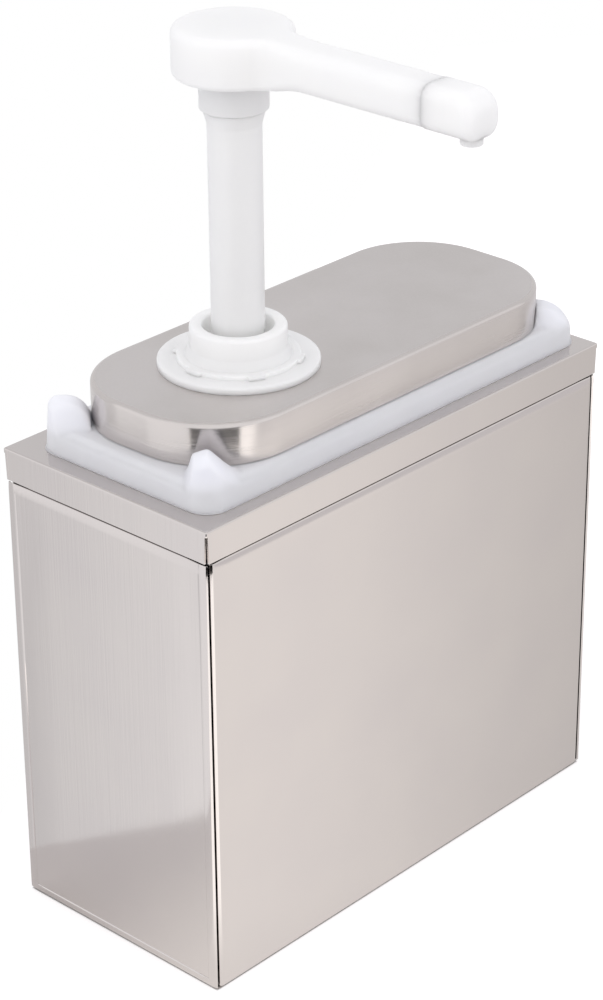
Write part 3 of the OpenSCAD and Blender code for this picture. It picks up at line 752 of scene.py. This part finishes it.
@dataclass
class FoodJar:
    """The lift-out jar: one skin whose crowned flange swells into a horn at each corner."""

    plastic: Material
    lid: Lid
    x: float = 1.4
    y: float = -1.4
    half_x: float = 101.6
    half_y: float = 41.6
    corner: float = 33.0
    wall: float = 2.0
    bottom: float = 8.8
    bottom_radius: float = 8.0
    flange_x: float = 114.5
    flange_y: float = 48.0
    flange_corner: float = 10.0
    flange_shift: float = 1.3
    flange_bottom: float = 210.05
    flange_edge: float = 4.5
    flange_wall: float = 2.2
    crown_inset: float = 0.5
    mouth_edge: float = 1.5
    lip: float = 0.3
    lip_rows: int = 9
    draft: float = 0.08
    deck: float = 220.4
    deck_rows: int = 40
    least: float = 0.5
    crowding: float = 2.2
    tall_horn: float = 12.2
    tall_slopes: Pair = (0.42, 1.15)
    tall_round: float = 1.5
    tall_end: Pair = (5.2, 8.8)
    tall_side: Pair = (10.0, 13.0)
    tall_fall: Pair = (11.5, 11.0)
    low_horn: float = 7.5
    low_rise: Pair = (4.0, 14.5)
    low_sides: Pair = (4.0, 11.0)
    lid_gap: Pair = (0.1, 0.7)

    def section(self) -> Array:
        """Upright section of the jar, from the underside's middle round the flange to the floor.

        Returns:
            Rows of half length, half width, corner radius and height, and the share of each row's
            way from the flange's outline to the body's.
        """
        turn = quarter(9)
        sin, cos = np.sin(turn), np.cos(turn)
        out, low, wall, soft = self.bottom_radius, self.bottom, self.wall, self.mouth_edge
        body = (self.half_x, self.half_y, self.corner)
        rim = (self.flange_x, self.flange_y, self.flange_corner)
        deck, edge, skin = self.deck, self.flange_edge, self.flange_wall
        inner, lip, foot = out - wall, self.lip, self.flange_bottom

        def rows(size: tuple, inset: Array, height: Array, share: float = 0.0) -> Array:
            """Rows whose rectangles lie the inset inside the given one."""
            flat = np.maximum(np.array(size)[None, :] - np.asarray(inset)[:, None], self.least)
            return np.column_stack([flat, height, np.full(len(flat), share)])

        mouth = rows(body, wall - soft + soft * sin, deck - soft + soft * cos, 1.0)
        across = np.repeat(mouth[:1], self.deck_rows, axis=0)
        across[:, 4] = between(self.deck_rows)
        return np.concatenate([
            rows(body, out - out * sin, low + out * (1 - cos), 1.0),
            rows(body, [0], [deck - skin], 1.0),
            rows(rim, [skin, skin, skin - lip, -lip / 2, -lip, -lip, -lip / 2, 0.1, 0.2],
                 chain(deck - skin, foot + lip * np.array([1, 0, 0, 0.5, 1, 1.5, 1.6, 2.5]))),
            rows(rim, self.crown_inset + edge - edge * cos, deck - edge + edge * sin),
            across,
            mouth,
            rows(body, wall + inner - inner * cos, low + wall + inner * (1 - sin), 1.0),
        ])

    def horns(self, flat: Array) -> Array:
        """Height of the horns over the flange.

        A point lies t inwards along its corner's diagonal and w across it. At the pump's end a horn
        falls from its ridge by a hyperbola of w, steeply towards the long side and gently towards
        the end, where it has an upright flank. Inwards it falls as a quarter ellipse of t. At the
        other end a horn swells along t by a quarter sine, and falls by smooth steps at its sides
        and before the lid's outline.

        Args:
            flat: Points in the jar's own frame.

        Returns:
            The height at each point.
        """
        gap = np.array([self.flange_x, self.flange_y]) - np.abs(flat - [self.flange_shift, 0])
        t = gap.sum(axis=-1) / math.sqrt(2)
        w = (gap[..., 0] - gap[..., 1]) / math.sqrt(2)
        gentle, steep = self.tall_slopes
        off = np.hypot(w, self.tall_round) - self.tall_round
        ridge = self.tall_horn - np.where(w > 0, steep, gentle) * off
        flanks = (1 - ease(-w, *self.tall_end)) * (1 - ease(w, *self.tall_side))
        start, length = self.tall_fall
        fall = np.sqrt(1 - np.clip((t - start) / length, 0, 1) ** 2)
        tall = (ridge + np.hypot(ridge, 1.0)) / 2 * flanks * fall
        lid = self.lid
        core = np.array([lid.half_x, lid.half_y]) - lid.corner
        away = np.abs(flat + [self.x - lid.x, self.y]) - core
        clear = np.linalg.norm(np.maximum(away, 0), axis=-1) - lid.corner
        start, length = self.low_rise
        swell = self.low_horn * np.sin(np.clip((t - start) / length, 0, 1) * math.pi / 2)
        low = swell * (1 - ease(np.abs(w), *self.low_sides)) * ease(clear, *self.lid_gap)
        return np.where(flat[..., 0] < 0, tall, low)

    def build(self) -> None:
        """Build the jar: rings along its section, lifted by the horns, which lean in by the draft.

        The flange's rings are rounded rectangles. From the crown inwards each column runs straight
        towards the nearest point of the body's core rectangle, one corner radius inside its sides.
        """
        rows = self.section()
        # The stops along a side crowd towards the corners, where the horns are.
        half = 0.5 * np.linspace(0, 1, 22)[1:] ** self.crowding
        stops = np.concatenate([half, 1 - half[-2::-1]])
        size, share = rows[:, :3], rows[:, 4]
        on_flange = share == 0
        rim = np.where(on_flange[:, None], size, size[on_flange][-1])
        ring = ring_rows(*rim.T, stops, 61) + [self.flange_shift, 0]
        core = np.array([self.half_x, self.half_y]) - self.corner
        foot = np.clip(ring, -core, core)
        way = (ring - foot) / np.linalg.norm(ring - foot, axis=-1, keepdims=True)
        share, inner = share[:, None, None], foot + way * size[:, 2, None, None]
        flat = ring * (1 - share) + inner * share
        flange = np.flatnonzero(on_flange)
        lift = self.horns(flat) * (np.arange(len(rows)) >= flange[self.lip_rows])[:, None]
        lift[flange[-1] + self.deck_rows + 1 :] = 0
        flat = flat - np.sign(flat) * (self.draft * lift / math.sqrt(2))[..., None]
        grid = capped(flat, rows[:, 3:4] + lift) + [self.x, self.y, 0]
        piece = make_piece("milky_jar", grid_shell(grid, close_columns=True), sharp=60)
        settle(piece, Body.JAR, Slot.JAR, self.plastic, "food_jar")


@dataclass(frozen=True)
class Turned:
    """A piece turned from one section: radius, height and any softness of its own per corner."""

    name: str
    node: str
    body: Body
    slot: Slot
    section: tuple
    soft: float = 0.3

    def shell(self) -> Shell:
        """Turn the section, with its corners softened, round the pump's axis."""
        return lathe(rounded([(*row, self.soft)[:3] for row in self.section]))


@dataclass
class Pump:
    """The hand pump: nut, stem, head with spout arm, spout cap, cylinder and spring."""

    plastic: Material
    silicone: Material
    wire: Material
    hub: float = 25.0
    hub_levels: Pair = (241.2, 242.75)
    hub_band: float = 0.6
    lugs: int = 6
    lug_length: float = 7.0
    lug_proud: float = 1.6
    lug_soft: float = 0.3
    head: float = 23.9
    head_top: float = 378.0
    head_bottom: float = 358.0
    head_top_edge: float = 3.4
    head_bottom_edge: float = 2.5
    arm: float = 9.0
    arm_top: float = 377.5
    arm_bottom: float = 360.5
    arm_edge: float = 5.0
    arm_end: float = -101.0
    merge: Pair = (22.0, 40.0)
    blend: float = 10.0
    cap: float = 9.3
    cap_top: float = 377.8
    cap_bottom: float = 360.2
    cap_front: float = -123.6
    cap_edge: float = 5.3
    cap_gap: float = 0.05
    cap_back: float = 0.4
    cap_soft: float = 0.15
    roundest: float = 0.9
    nose: float = 8.0
    chin: float = 2.0
    cheek: float = 3.0
    nozzle_y: float = -117.6
    tube_end: float = 16.8
    tube_radius: float = 7.05
    tube_cut: float = 30.0
    spring_bottom: float = 105.0
    spring_length: float = 113.2
    spring_radius: float = 9.25
    wire_radius: float = 0.8
    curls: int = 12
    close_pitch: float = 2.2

    def nut(self) -> None:
        """Build the lock nut: a turned section whose hub swells outwards at each grip lug."""
        section = [
            (17.05, 238.1, 0.2), (32.9, 238.1, 0.3), (32.9, 241.1, 1.0), (25.0, 241.1, 0.4),
            (25.0, 242.7, 0.5), (21.7, 242.7, 0.4), (19.7, 246.7, 2.0), (19.7, 255.3, 1.3),
            (14.4, 255.3, 1.0), (14.4, 247.5, 0.6), (10.8, 247.5, 0.2), (10.8, 245.0, 0.2),
            (17.05, 245.0, 0.2),
        ]
        shell = lathe(rounded(section), 288)
        away, height = shell.points[:, :2] - [PUMP_X, 0], shell.points[:, 2]
        radius = np.linalg.norm(away, axis=1)
        angle = np.arctan2(away[:, 1], away[:, 0]) * self.lugs / (2 * math.pi)
        off = np.abs(angle - np.round(angle)) * 2 * math.pi * self.hub / self.lugs
        reach, soft = self.lug_length / 2, self.lug_soft
        on_lug = 1 - ease(off, reach - soft, reach + soft)
        low, high = self.hub_levels
        on_hub = (np.abs(radius - self.hub) < self.hub_band) & (height > low) & (height < high)
        push = np.where(on_hub, on_lug * self.lug_proud, 0) / np.maximum(radius, 1)
        shell.points[:, :2] += away * push[:, None]
        piece = make_piece("lugged_nut", shell)
        settle(piece, Body.LID, Slot.PUMP, self.plastic, "lock_nut")

    def outline(self) -> tuple[Array, Array]:
        """Right half of the head's plan: the arm's side, the blend and the head's circle.

        The blend's centre lies one blend radius beside the arm, as far from the pump's axis as both
        radii together.

        Returns:
            Points from the arm's end to the back of the head, and the outward directions there.
        """
        blend_x = self.arm + self.blend
        blend_y = -math.sqrt((self.head + self.blend) ** 2 - blend_x ** 2)
        meet = math.atan2(blend_y, blend_x)
        along = np.linspace(self.arm_end, blend_y, 14)
        side = np.stack([np.full(14, self.arm), along], axis=-1)
        bend = unit(np.linspace(math.pi, math.pi + meet, 14)[1:])
        disc = unit(np.linspace(meet, math.pi / 2, 40)[1:])
        points = np.concatenate([side, [blend_x, blend_y] + self.blend * bend, self.head * disc])
        outward = np.concatenate([np.broadcast_to([1.0, 0.0], side.shape), -bend, disc])
        return points, outward

    def head_piece(self) -> None:
        """Build the head and its arm as one form.

        The plan outline moves inwards along its normals by quarter circles at the top and bottom
        edge. Levels and radii change smoothly from the head's to the arm's along the arm. Straight
        rungs across the symmetry plane close the top, the underside and the arm's end.
        """
        points, outward = self.outline()
        share = 1 - ease(-points[:, 1], *self.merge)
        top, bottom, top_edge, low_edge = (
            at_arm + (at_head - at_arm) * share for at_arm, at_head in (
                (self.arm_top, self.head_top), (self.arm_bottom, self.head_bottom),
                (self.arm_edge, self.head_top_edge), (self.arm_edge, self.head_bottom_edge),
            )
        )
        turn = quarter(9)[:, None]
        inset = np.concatenate([low_edge * (1 - np.sin(turn)), top_edge * (1 - np.cos(turn))])
        height = np.concatenate([
            bottom + low_edge * (1 - np.cos(turn)), top - top_edge * (1 - np.sin(turn)),
        ])
        right = raised(points[None] - outward[None] * inset[..., None], height)
        left = right * [-1, 1, 1]
        around = np.concatenate([right, left[:, ::-1]], axis=1)
        skin = joined(
            grid_shell(around), ladder(right[-1], left[-1]), ladder(right[0], left[0]),
            ladder(right[:, 0], left[:, 0]),
        )
        skin.points = skin.points + [PUMP_X, 0, 0]
        neck = lathe(rounded([
            (10.9, 344.6, 0.2), (13.65, 344.6, 0.8), (13.65, 356.6, 3.0), (15.4, 358.6, 0.2),
            (10.9, 358.6, 0.2),
        ]))
        piece = make_piece("palm_head", joined(skin, neck))
        settle(piece, Body.HEAD, Slot.PUMP, self.plastic, "pump_head")

    def spout(self) -> None:
        """Build the spout cap: rounded rectangles along Y that shrink towards the front.

        They shrink by quarter circles: the top comes down by the nose radius, the underside goes up
        by the chin radius, and the sides come in by the cheek radius. The nozzle is a turned ring.
        """
        near = self.nose * (1 - np.cos(quarter(17)))
        back = self.arm_end - self.cap_gap - self.cap_front
        distance = chain(near, np.linspace(self.nose, back - self.cap_back, 8)[1:], back)

        def inset(radius: float) -> Array:
            """Quarter circle: how far a face lies inside its end size at each distance."""
            gap = np.clip(radius - distance, 0, radius)
            return radius - np.sqrt(radius ** 2 - gap ** 2)

        soft = np.zeros(len(distance))
        soft[-1] = self.cap_soft
        top = self.cap_top - inset(self.nose) - soft
        bottom = self.cap_bottom + inset(self.chin) + soft
        half_z = (top - bottom) / 2
        half_x = self.cap - inset(self.cheek) - soft
        corner = np.minimum(self.cap_edge, self.roundest * np.minimum(half_z, half_x))
        loop = ring_rows(half_x, half_z, corner, between(4), 11)
        along = np.broadcast_to((self.cap_front + distance)[:, None], loop.shape[:2])
        middle = ((top + bottom) / 2)[:, None]
        grid = np.stack([PUMP_X + loop[..., 0], along, middle + loop[..., 1]], axis=-1)
        first, last = (np.broadcast_to(row.mean(axis=0), row.shape)[None] for row in grid[[0, -1]])
        body = grid_shell(np.concatenate([first, grid, last]), close_columns=True)
        ring = rounded([
            (2.8, 357.2, 0.3), (4.3, 357.2, 0.5), (4.3, 359.5, 0.8), (5.2, 361.1, 0.2),
            (2.8, 361.1, 0.2),
        ])
        piece = make_piece("spout_nose", joined(body, lathe(ring, 48, self.nozzle_y)))
        settle(piece, Body.HEAD, Slot.PUMP, self.plastic, "spout_cap")

    def turned(self) -> None:
        """Build the turned pieces: stem, cylinder, foot valve, gasket and slanted dip tube."""
        end, tube = self.tube_end, self.tube_radius
        rows = [
            Turned("hollow_stem", "stem", Body.HEAD, Slot.PUMP, (
                (6.5, 227.0), (8.5, 227.0), (8.5, 241.0), (10.75, 241.0), (10.75, 338.5, 3.0),
                (12.4, 344.4, 0.5), (10.75, 344.4, 0.1), (10.75, 365.0), (6.5, 365.0))),
            Turned("cylinder_tube", "pump_cylinder", Body.LID, Slot.PUMP, (
                (12.0, 86.3), (15.0, 86.3), (15.0, 232.8, 0.8), (23.0, 232.8), (23.0, 235.8),
                (17.0, 235.8), (17.0, 245.0), (14.0, 245.0), (14.0, 241.0, 0.1), (12.0, 241.0))),
            Turned("foot_plug", "foot_valve", Body.LID, Slot.PUMP, (
                (4.0, 68.3), (5.0, 68.3), (5.0, 82.3), (15.0, 82.3, 1.0), (15.0, 86.3),
                (11.95, 86.3, 0.1), (11.95, 89.3, 0.1), (9.75, 89.3, 0.1), (9.75, 92.3, 0.1),
                (11.95, 92.3, 0.1), (11.95, 104.8), (6.5, 104.8), (6.5, 89.9), (4.0, 89.9))),
            Turned("neck_gasket", "cylinder_gasket", Body.LID, Slot.SEAL, (
                (17.05, 235.8), (23.0, 235.8), (23.0, 237.3), (17.05, 237.3)), 0.4),
            Turned("slanted_dip_tube", "dip_tube", Body.LID, Slot.PUMP, (
                (5.05, end), (tube, end), (tube, 82.3), (5.05, 82.3))),
        ]
        for row in rows:
            shell = row.shell()
            if row.node == "dip_tube":
                across = shell.points[:, 0] - PUMP_X + tube
                slope = end + across * math.tan(math.radians(self.tube_cut))
                shell.points[:, 2] = np.maximum(shell.points[:, 2], slope)
            piece = make_piece(row.name, shell)
            material = self.silicone if row.slot is Slot.SEAL else self.plastic
            settle(piece, row.body, row.slot, material, row.node)

    def spring(self) -> None:
        """Build the return spring: a round wire along a helix whose end curls lie close.

        A point at angle a on the wire round turn t is at radius R + w cos a and at the turn's
        height plus w sin a. The height rises by the close pitch in the first and last curl and
        evenly between them. The ends close to a point.
        """
        turn = np.linspace(0, self.curls, self.curls * 36 + 1)
        rise = self.spring_length - 2 * self.wire_radius
        levels = [0, self.close_pitch, rise - self.close_pitch, rise]
        height = np.interp(turn, [0, 1, self.curls - 1, self.curls], levels)
        thick = chain(0, np.full(len(turn), self.wire_radius), 0)[:, None]
        turn, height = (chain(row[0], row, row[-1])[:, None] for row in (turn, height))
        angle = np.linspace(0, 2 * math.pi, 12, endpoint=False)[None, :]
        radius = self.spring_radius + thick * np.cos(angle)
        way = turn * 2 * math.pi
        z = self.spring_bottom + self.wire_radius + height + thick * np.sin(angle)
        grid = np.stack([PUMP_X + radius * np.cos(way), radius * np.sin(way), z], axis=-1)
        piece = make_piece("coil_spring", grid_shell(grid, close_columns=True))
        settle(piece, Body.LID, Slot.SPRING, self.wire, "return_spring")
        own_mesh(piece)

    def build(self) -> None:
        """Build all the pump's pieces."""
        self.nut()
        self.turned()
        self.head_piece()
        self.spout()
        self.spring()


@dataclass
class Studio:
    """A pale floor, soft light and the photograph's camera."""

    camera_place: tuple[float, float, float] = (-803.776, -738.734, 704.275)
    azimuth: float = -47.177
    elevation: float = 26.4752
    roll: float = -0.4715
    lens: float = 104.206
    sensor: float = 36.0
    camera_lift: float = 0.42
    sky: float = 0.93
    front: float = 1.08
    back: float = 0.8
    back_way: tuple[float, float, float] = (0.731, 0.682, 0.0)
    back_from: Pair = (-0.045, 0.06)
    side_from: Pair = (-0.3, -0.5)
    floor_edge: tuple[Pair, ...] = (
        (-208.9, 39.4), (-120.0, 91.0), (900.0, 683.0), (2500.0, -400.0), (600.0, -2500.0),
        (-2500.0, -1291.2),
    )
    painted_shade_footprint: Pair = (119.4, 55.5)
    front_corner: Pair = (-100.0, -40.0)
    card_turn: float = -135.0
    card_sides: Pair = (48.0, 58.0)
    card_near: Pair = (30.0, 100.0)
    card_far: Pair = (1200.0, 1500.0)
    falloff_from: Pair = (-804.0, 627.0)
    falloff_slopes: Pair = (-0.98, -0.62)
    falloff_levels: Pair = (1.12, 0.66)
    flag_centre: Pair = (-92.0, -35.0)
    flag_reach: float = 114.0
    flag_arc: Pair = (190.0, 260.0)
    flag_levels: Pair = (148.0, 228.0)
    lamp_size: float = 900.0

    def camera(self) -> None:
        """Place the camera: a turn to its azimuth, a tilt to its elevation and a small roll."""
        data = bpy.data.cameras.new("camera")
        data.sensor_fit, data.sensor_height, data.lens = "VERTICAL", self.sensor, self.lens
        data.clip_start, data.clip_end = 0.01, 100
        camera = put("camera", data)
        camera.matrix_world = Matrix.Translation(Vector(self.camera_place) * MM)
        turns = ((self.azimuth, "Z"), (90 - self.elevation, "X"), (self.roll, "Z"))
        for angle, axis in turns:
            camera.matrix_world @= Matrix.Rotation(math.radians(angle), 4, axis)
        bpy.context.scene.camera = camera

    @staticmethod
    def blank(owner: Material | bpy.types.World) -> tuple[NodeTree, Node, NodeSocket]:
        """Empty the nodes of a material or world, and add those that tell rays apart.

        Args:
            owner: The material or world.

        Returns:
            Its node tree, what is 1 for what the camera sees, and what is 1 in reflections.
        """
        owner.use_nodes = True
        tree = owner.node_tree
        tree.nodes.clear()
        path = add(tree, "LightPath").outputs
        seen = {0: path["Is Camera Ray"], 1: path["Is Transmission Ray"]}
        return tree, add(tree, "Math", seen, operation="MAXIMUM"), path["Is Glossy Ray"]

    def floor(self) -> None:
        """Lay the floor: white to the camera, except under the casing, where the white lift is left
        out as painted shade, with cards of light on it.

        It ends along a line on the left. Only reflections show the cards: a glow by the left end, a
        pool before the long side and a bright sector before the front corner.
        """
        mesh = bpy.data.meshes.new("floor")
        corners = [(x * MM, y * MM, 0.0) for x, y in self.floor_edge]
        mesh.from_pydata(corners, [], [list(range(len(corners)))[::-1]])
        floor = put("floor", mesh)
        material = bpy.data.materials.new("floor_paper_white")
        tree, seen, mirrored = self.blank(material)
        place = add(tree, "TexCoord").outputs["Object"]
        # Under the casing's footprint the white lift is left out: painted shade under the casing's
        # foot.
        away = []
        for axis, half in zip(add(tree, "SeparateXYZ", {0: place}).outputs, self.painted_shade_footprint):
            beside = add(tree, "Math", {0: axis}, operation="ABSOLUTE")
            away.append(add(tree, "Math", {0: beside, 1: half * MM}, operation="GREATER_THAN"))
        clear = add(tree, "Math", {0: away[0], 1: away[1]}, operation="MAXIMUM")
        lift = add(tree, "Math", {0: seen, 1: self.camera_lift}, operation="MULTIPLY")
        lift = add(tree, "Math", {0: lift, 1: clear}, operation="MULTIPLY")
        lift = add(tree, "Emission", {"Color": linear("#ffffff"), "Strength": lift})
        paper = add(tree, "BsdfDiffuse", {"Color": linear("#e4e2e1")})
        total = add(tree, "AddShader", {0: paper, 1: lift})
        glow = self.spot(tree, place, (-165.0, -75.0), (110.0, 110.0), (0.1, 1.2))
        pool = self.spot(tree, place, (180.0, -240.0), (560.0, 330.0), (0.6, 1.1))
        cards = (
            (glow, 0.5, "#fffdfb", 1.0), (pool, 0.85, "#fffcfa", self.falloff(tree, place)),
            (self.card(tree, place), 0.9, "#fffdfb", 1.6),
        )
        for share, most, colour, level in cards:
            share = add(tree, "Math", {0: share, 1: most}, operation="MULTIPLY")
            share = add(tree, "Math", {0: share, 1: mirrored}, operation="MULTIPLY")
            card = add(tree, "Emission", {"Color": linear(colour), "Strength": level})
            total = add(tree, "MixShader", {0: share, 1: total, 2: card})
        add(tree, "OutputMaterial", {"Surface": total})
        mesh.materials.append(material)

    def falloff(self, tree: NodeTree, place: NodeSocket) -> Node:
        """Level of the pool's light: it falls off with the bearing from a fixed point.

        Args:
            tree: Node tree of the floor.
            place: Socket with the place on the floor.

        Returns:
            The node with the level.
        """
        start = (*[-value * MM for value in self.falloff_from], 0.0)
        way = add(tree, "VectorMath", {0: place, 1: start})
        axes = add(tree, "SeparateXYZ", {0: way}).outputs
        slope = add(tree, "Math", {0: axes["Y"], 1: axes["X"]}, operation="DIVIDE")
        limits = dict(enumerate((*self.falloff_slopes, *self.falloff_levels), 1))
        return add(tree, "MapRange", {0: slope, **limits}, interpolation_type="SMOOTHSTEP")

    def card(self, tree: NodeTree, place: NodeSocket) -> Node:
        """Share of a bright card on the floor: a sector before the front corner with soft edges.

        Args:
            tree: Node tree of the floor.
            place: Socket with the place on the floor.

        Returns:
            The node with the share.
        """
        corner = (*[value * MM for value in self.front_corner], 0)
        heading = (0, 0, math.radians(self.card_turn))
        turn = {"Vector": place, "Location": corner, "Rotation": heading}
        turn = add(tree, "Mapping", turn, vector_type="TEXTURE")
        axes = add(tree, "SeparateXYZ", {0: turn}).outputs
        angle = add(tree, "Math", {0: axes["Y"], 1: axes["X"]}, operation="ARCTAN2")
        angle = add(tree, "Math", {0: angle}, operation="ABSOLUTE")
        away = add(tree, "VectorMath", {0: turn}, operation="LENGTH").outputs["Value"]
        limits = (
            (angle, self.card_sides, math.radians(1), (1.0, 0.0)),
            (away, self.card_near, MM, (0.0, 1.0)), (away, self.card_far, MM, (1.0, 0.0)),
        )
        share = 1.0
        for value, (low, high), size, (first, last) in limits:
            step = {0: value, 1: low * size, 2: high * size, 3: first, 4: last}
            step = add(tree, "MapRange", step, interpolation_type="SMOOTHSTEP")
            share = add(tree, "Math", {0: step, 1: share}, operation="MULTIPLY")
        return share

    @staticmethod
    def spot(tree: NodeTree, place: NodeSocket, centre: Pair, reach: Pair, fade: Pair) -> Node:
        """A soft oval on the floor: 1 inside, 0 outside, with a smooth step between.

        Args:
            tree: Node tree of the floor.
            place: Socket with the place on the floor.
            centre: Middle of the oval, in millimetres.
            reach: Half length and half width, in millimetres.
            fade: Shares of the reach at which it starts to fade and has gone.

        Returns:
            The node with the value.
        """
        scale = (*[1 / (size * MM) for size in reach], 0)
        shift = (*[-point / size for point, size in zip(centre, reach)], 0)
        oval = add(tree, "Mapping", {"Vector": place, "Location": shift, "Scale": scale})
        away = add(tree, "VectorMath", {0: oval}, operation="LENGTH").outputs["Value"]
        step = {0: away, 1: fade[0], 2: fade[1], 3: 1.0, 4: 0.0}
        return add(tree, "MapRange", step, interpolation_type="SMOOTHSTEP")

    def flag(self) -> None:
        """Hang a black flag before the lid's front corner: an arc that only reflections show."""
        edge = unit(np.radians(np.linspace(*self.flag_arc, 15))) * self.flag_reach
        edge = edge + self.flag_centre
        grid = raised(np.stack([edge, edge]), np.array(self.flag_levels))
        flag = make_piece("black_flag", grid_shell(grid), closed=False)
        material = bpy.data.materials.new("flag_cloth_black")
        tree = self.blank(material)[0]
        cloth = add(tree, "Emission", {"Color": linear("#1c1a1a"), "Strength": 1.0})
        add(tree, "OutputMaterial", {"Surface": cloth})
        flag.data.materials.append(material)
        flag.visible_camera = flag.visible_diffuse = False
        flag.visible_transmission = flag.visible_shadow = False

    def world(self) -> None:
        """Light from all round: white to the camera, dimmer behind in reflections, soft on matt."""
        world = bpy.data.worlds.new("studio_white")
        bpy.context.scene.world = world
        tree, seen, mirrored = self.blank(world)
        way = add(tree, "TexCoord").outputs["Generated"]
        behind = add(tree, "VectorMath", {0: way, 1: self.back_way}, operation="DOT_PRODUCT")
        level = dict(enumerate((*self.back_from, self.front, self.back), 1))
        level = {0: behind.outputs["Value"], **level}
        level = add(tree, "MapRange", level, interpolation_type="SMOOTHSTEP")
        side = add(tree, "SeparateXYZ", {0: way}).outputs["Y"]
        side = add(tree, "MapRange", {0: side, 1: self.side_from[0], 2: self.side_from[1]})
        level = add(tree, "Math", {0: level, 1: side}, operation="MAXIMUM")
        white, bright, soft = (
            add(tree, "Background", {"Color": linear(colour), "Strength": strength})
            for colour, strength in (("#ffffff", 1.0), ("#fdfdff", level), ("#fbfbff", self.sky))
        )
        light = add(tree, "MixShader", {0: mirrored, 1: soft, 2: bright})
        mixed = add(tree, "MixShader", {0: seen, 1: light, 2: white})
        add(tree, "OutputWorld", {"Surface": mixed})

    def lamps(self) -> None:
        """Hang two soft square lamps that reflections don't show: a warm key and a cool fill."""
        lamps = (
            ("key", (-1150, -600, 1500), (0, 0, 150), 5.0, "#fffaf5"),
            ("fill", (900, -1000, 900), (0, 0, 250), 1.2, "#fbfbff"),
        )
        for name, place, aim, power, colour in lamps:
            data = bpy.data.lights.new(name, "AREA")
            data.size, data.energy, data.color = self.lamp_size * MM, power, linear(colour)[:3]
            lamp = put(name, data)
            lamp.location = Vector(place) * MM
            lamp.rotation_euler = (Vector(aim) - Vector(place)).to_track_quat("-Z", "Y").to_euler()
            lamp.visible_glossy = False

    def build(self) -> None:
        """Set the view, camera, floor, world and lamps."""
        bpy.context.scene.view_settings.view_transform = "Standard"
        self.camera()
        self.floor()
        self.flag()
        self.world()
        self.lamps()


def dress_kept_nodes(materials: dict[str, Material]) -> None:
    """Give the CAD nodes that stay their finishes.

    Args:
        materials: Material of each node.
    """
    for node, material in materials.items():
        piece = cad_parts[node]
        piece.data.materials.clear()
        piece.data.materials.append(material)
        log.info("%s: kept from the frame", node)


def main() -> None:
    """Build the dispenser's pieces in order."""
    logging.basicConfig(level=logging.INFO, format="%(name)s %(message)s")
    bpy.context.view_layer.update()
    plastic, silicone = PUMP_PLASTIC.material(), SEAL_SILICONE.material()
    ball = BALL_STEEL.material()
    # The base plate's dark finish is painted shade along the casing's foot.
    casing = Casing(CASING_STEEL.material(), BASE_PAINTED_SHADE_STEEL.material())
    casing.base()
    casing.walls()
    casing.collar()
    lid = Lid(LID_WALL_STEEL.material(), LID_TOP_STEEL.material())
    FoodJar(JAR_PLASTIC.material(), lid).build()
    lid.build()
    Pump(plastic, silicone, SPRING_STEEL.material()).build()
    dress_kept_nodes({
        "piston": plastic, "inlet_ball_cage": plastic, "outlet_ball_cage": plastic,
        "piston_seals": silicone, "wiper_seal": silicone, "foot_seal": silicone,
        "inlet_ball": ball, "outlet_ball": ball,
    })
    Studio().build()


if __name__ == "__main__":
    main()
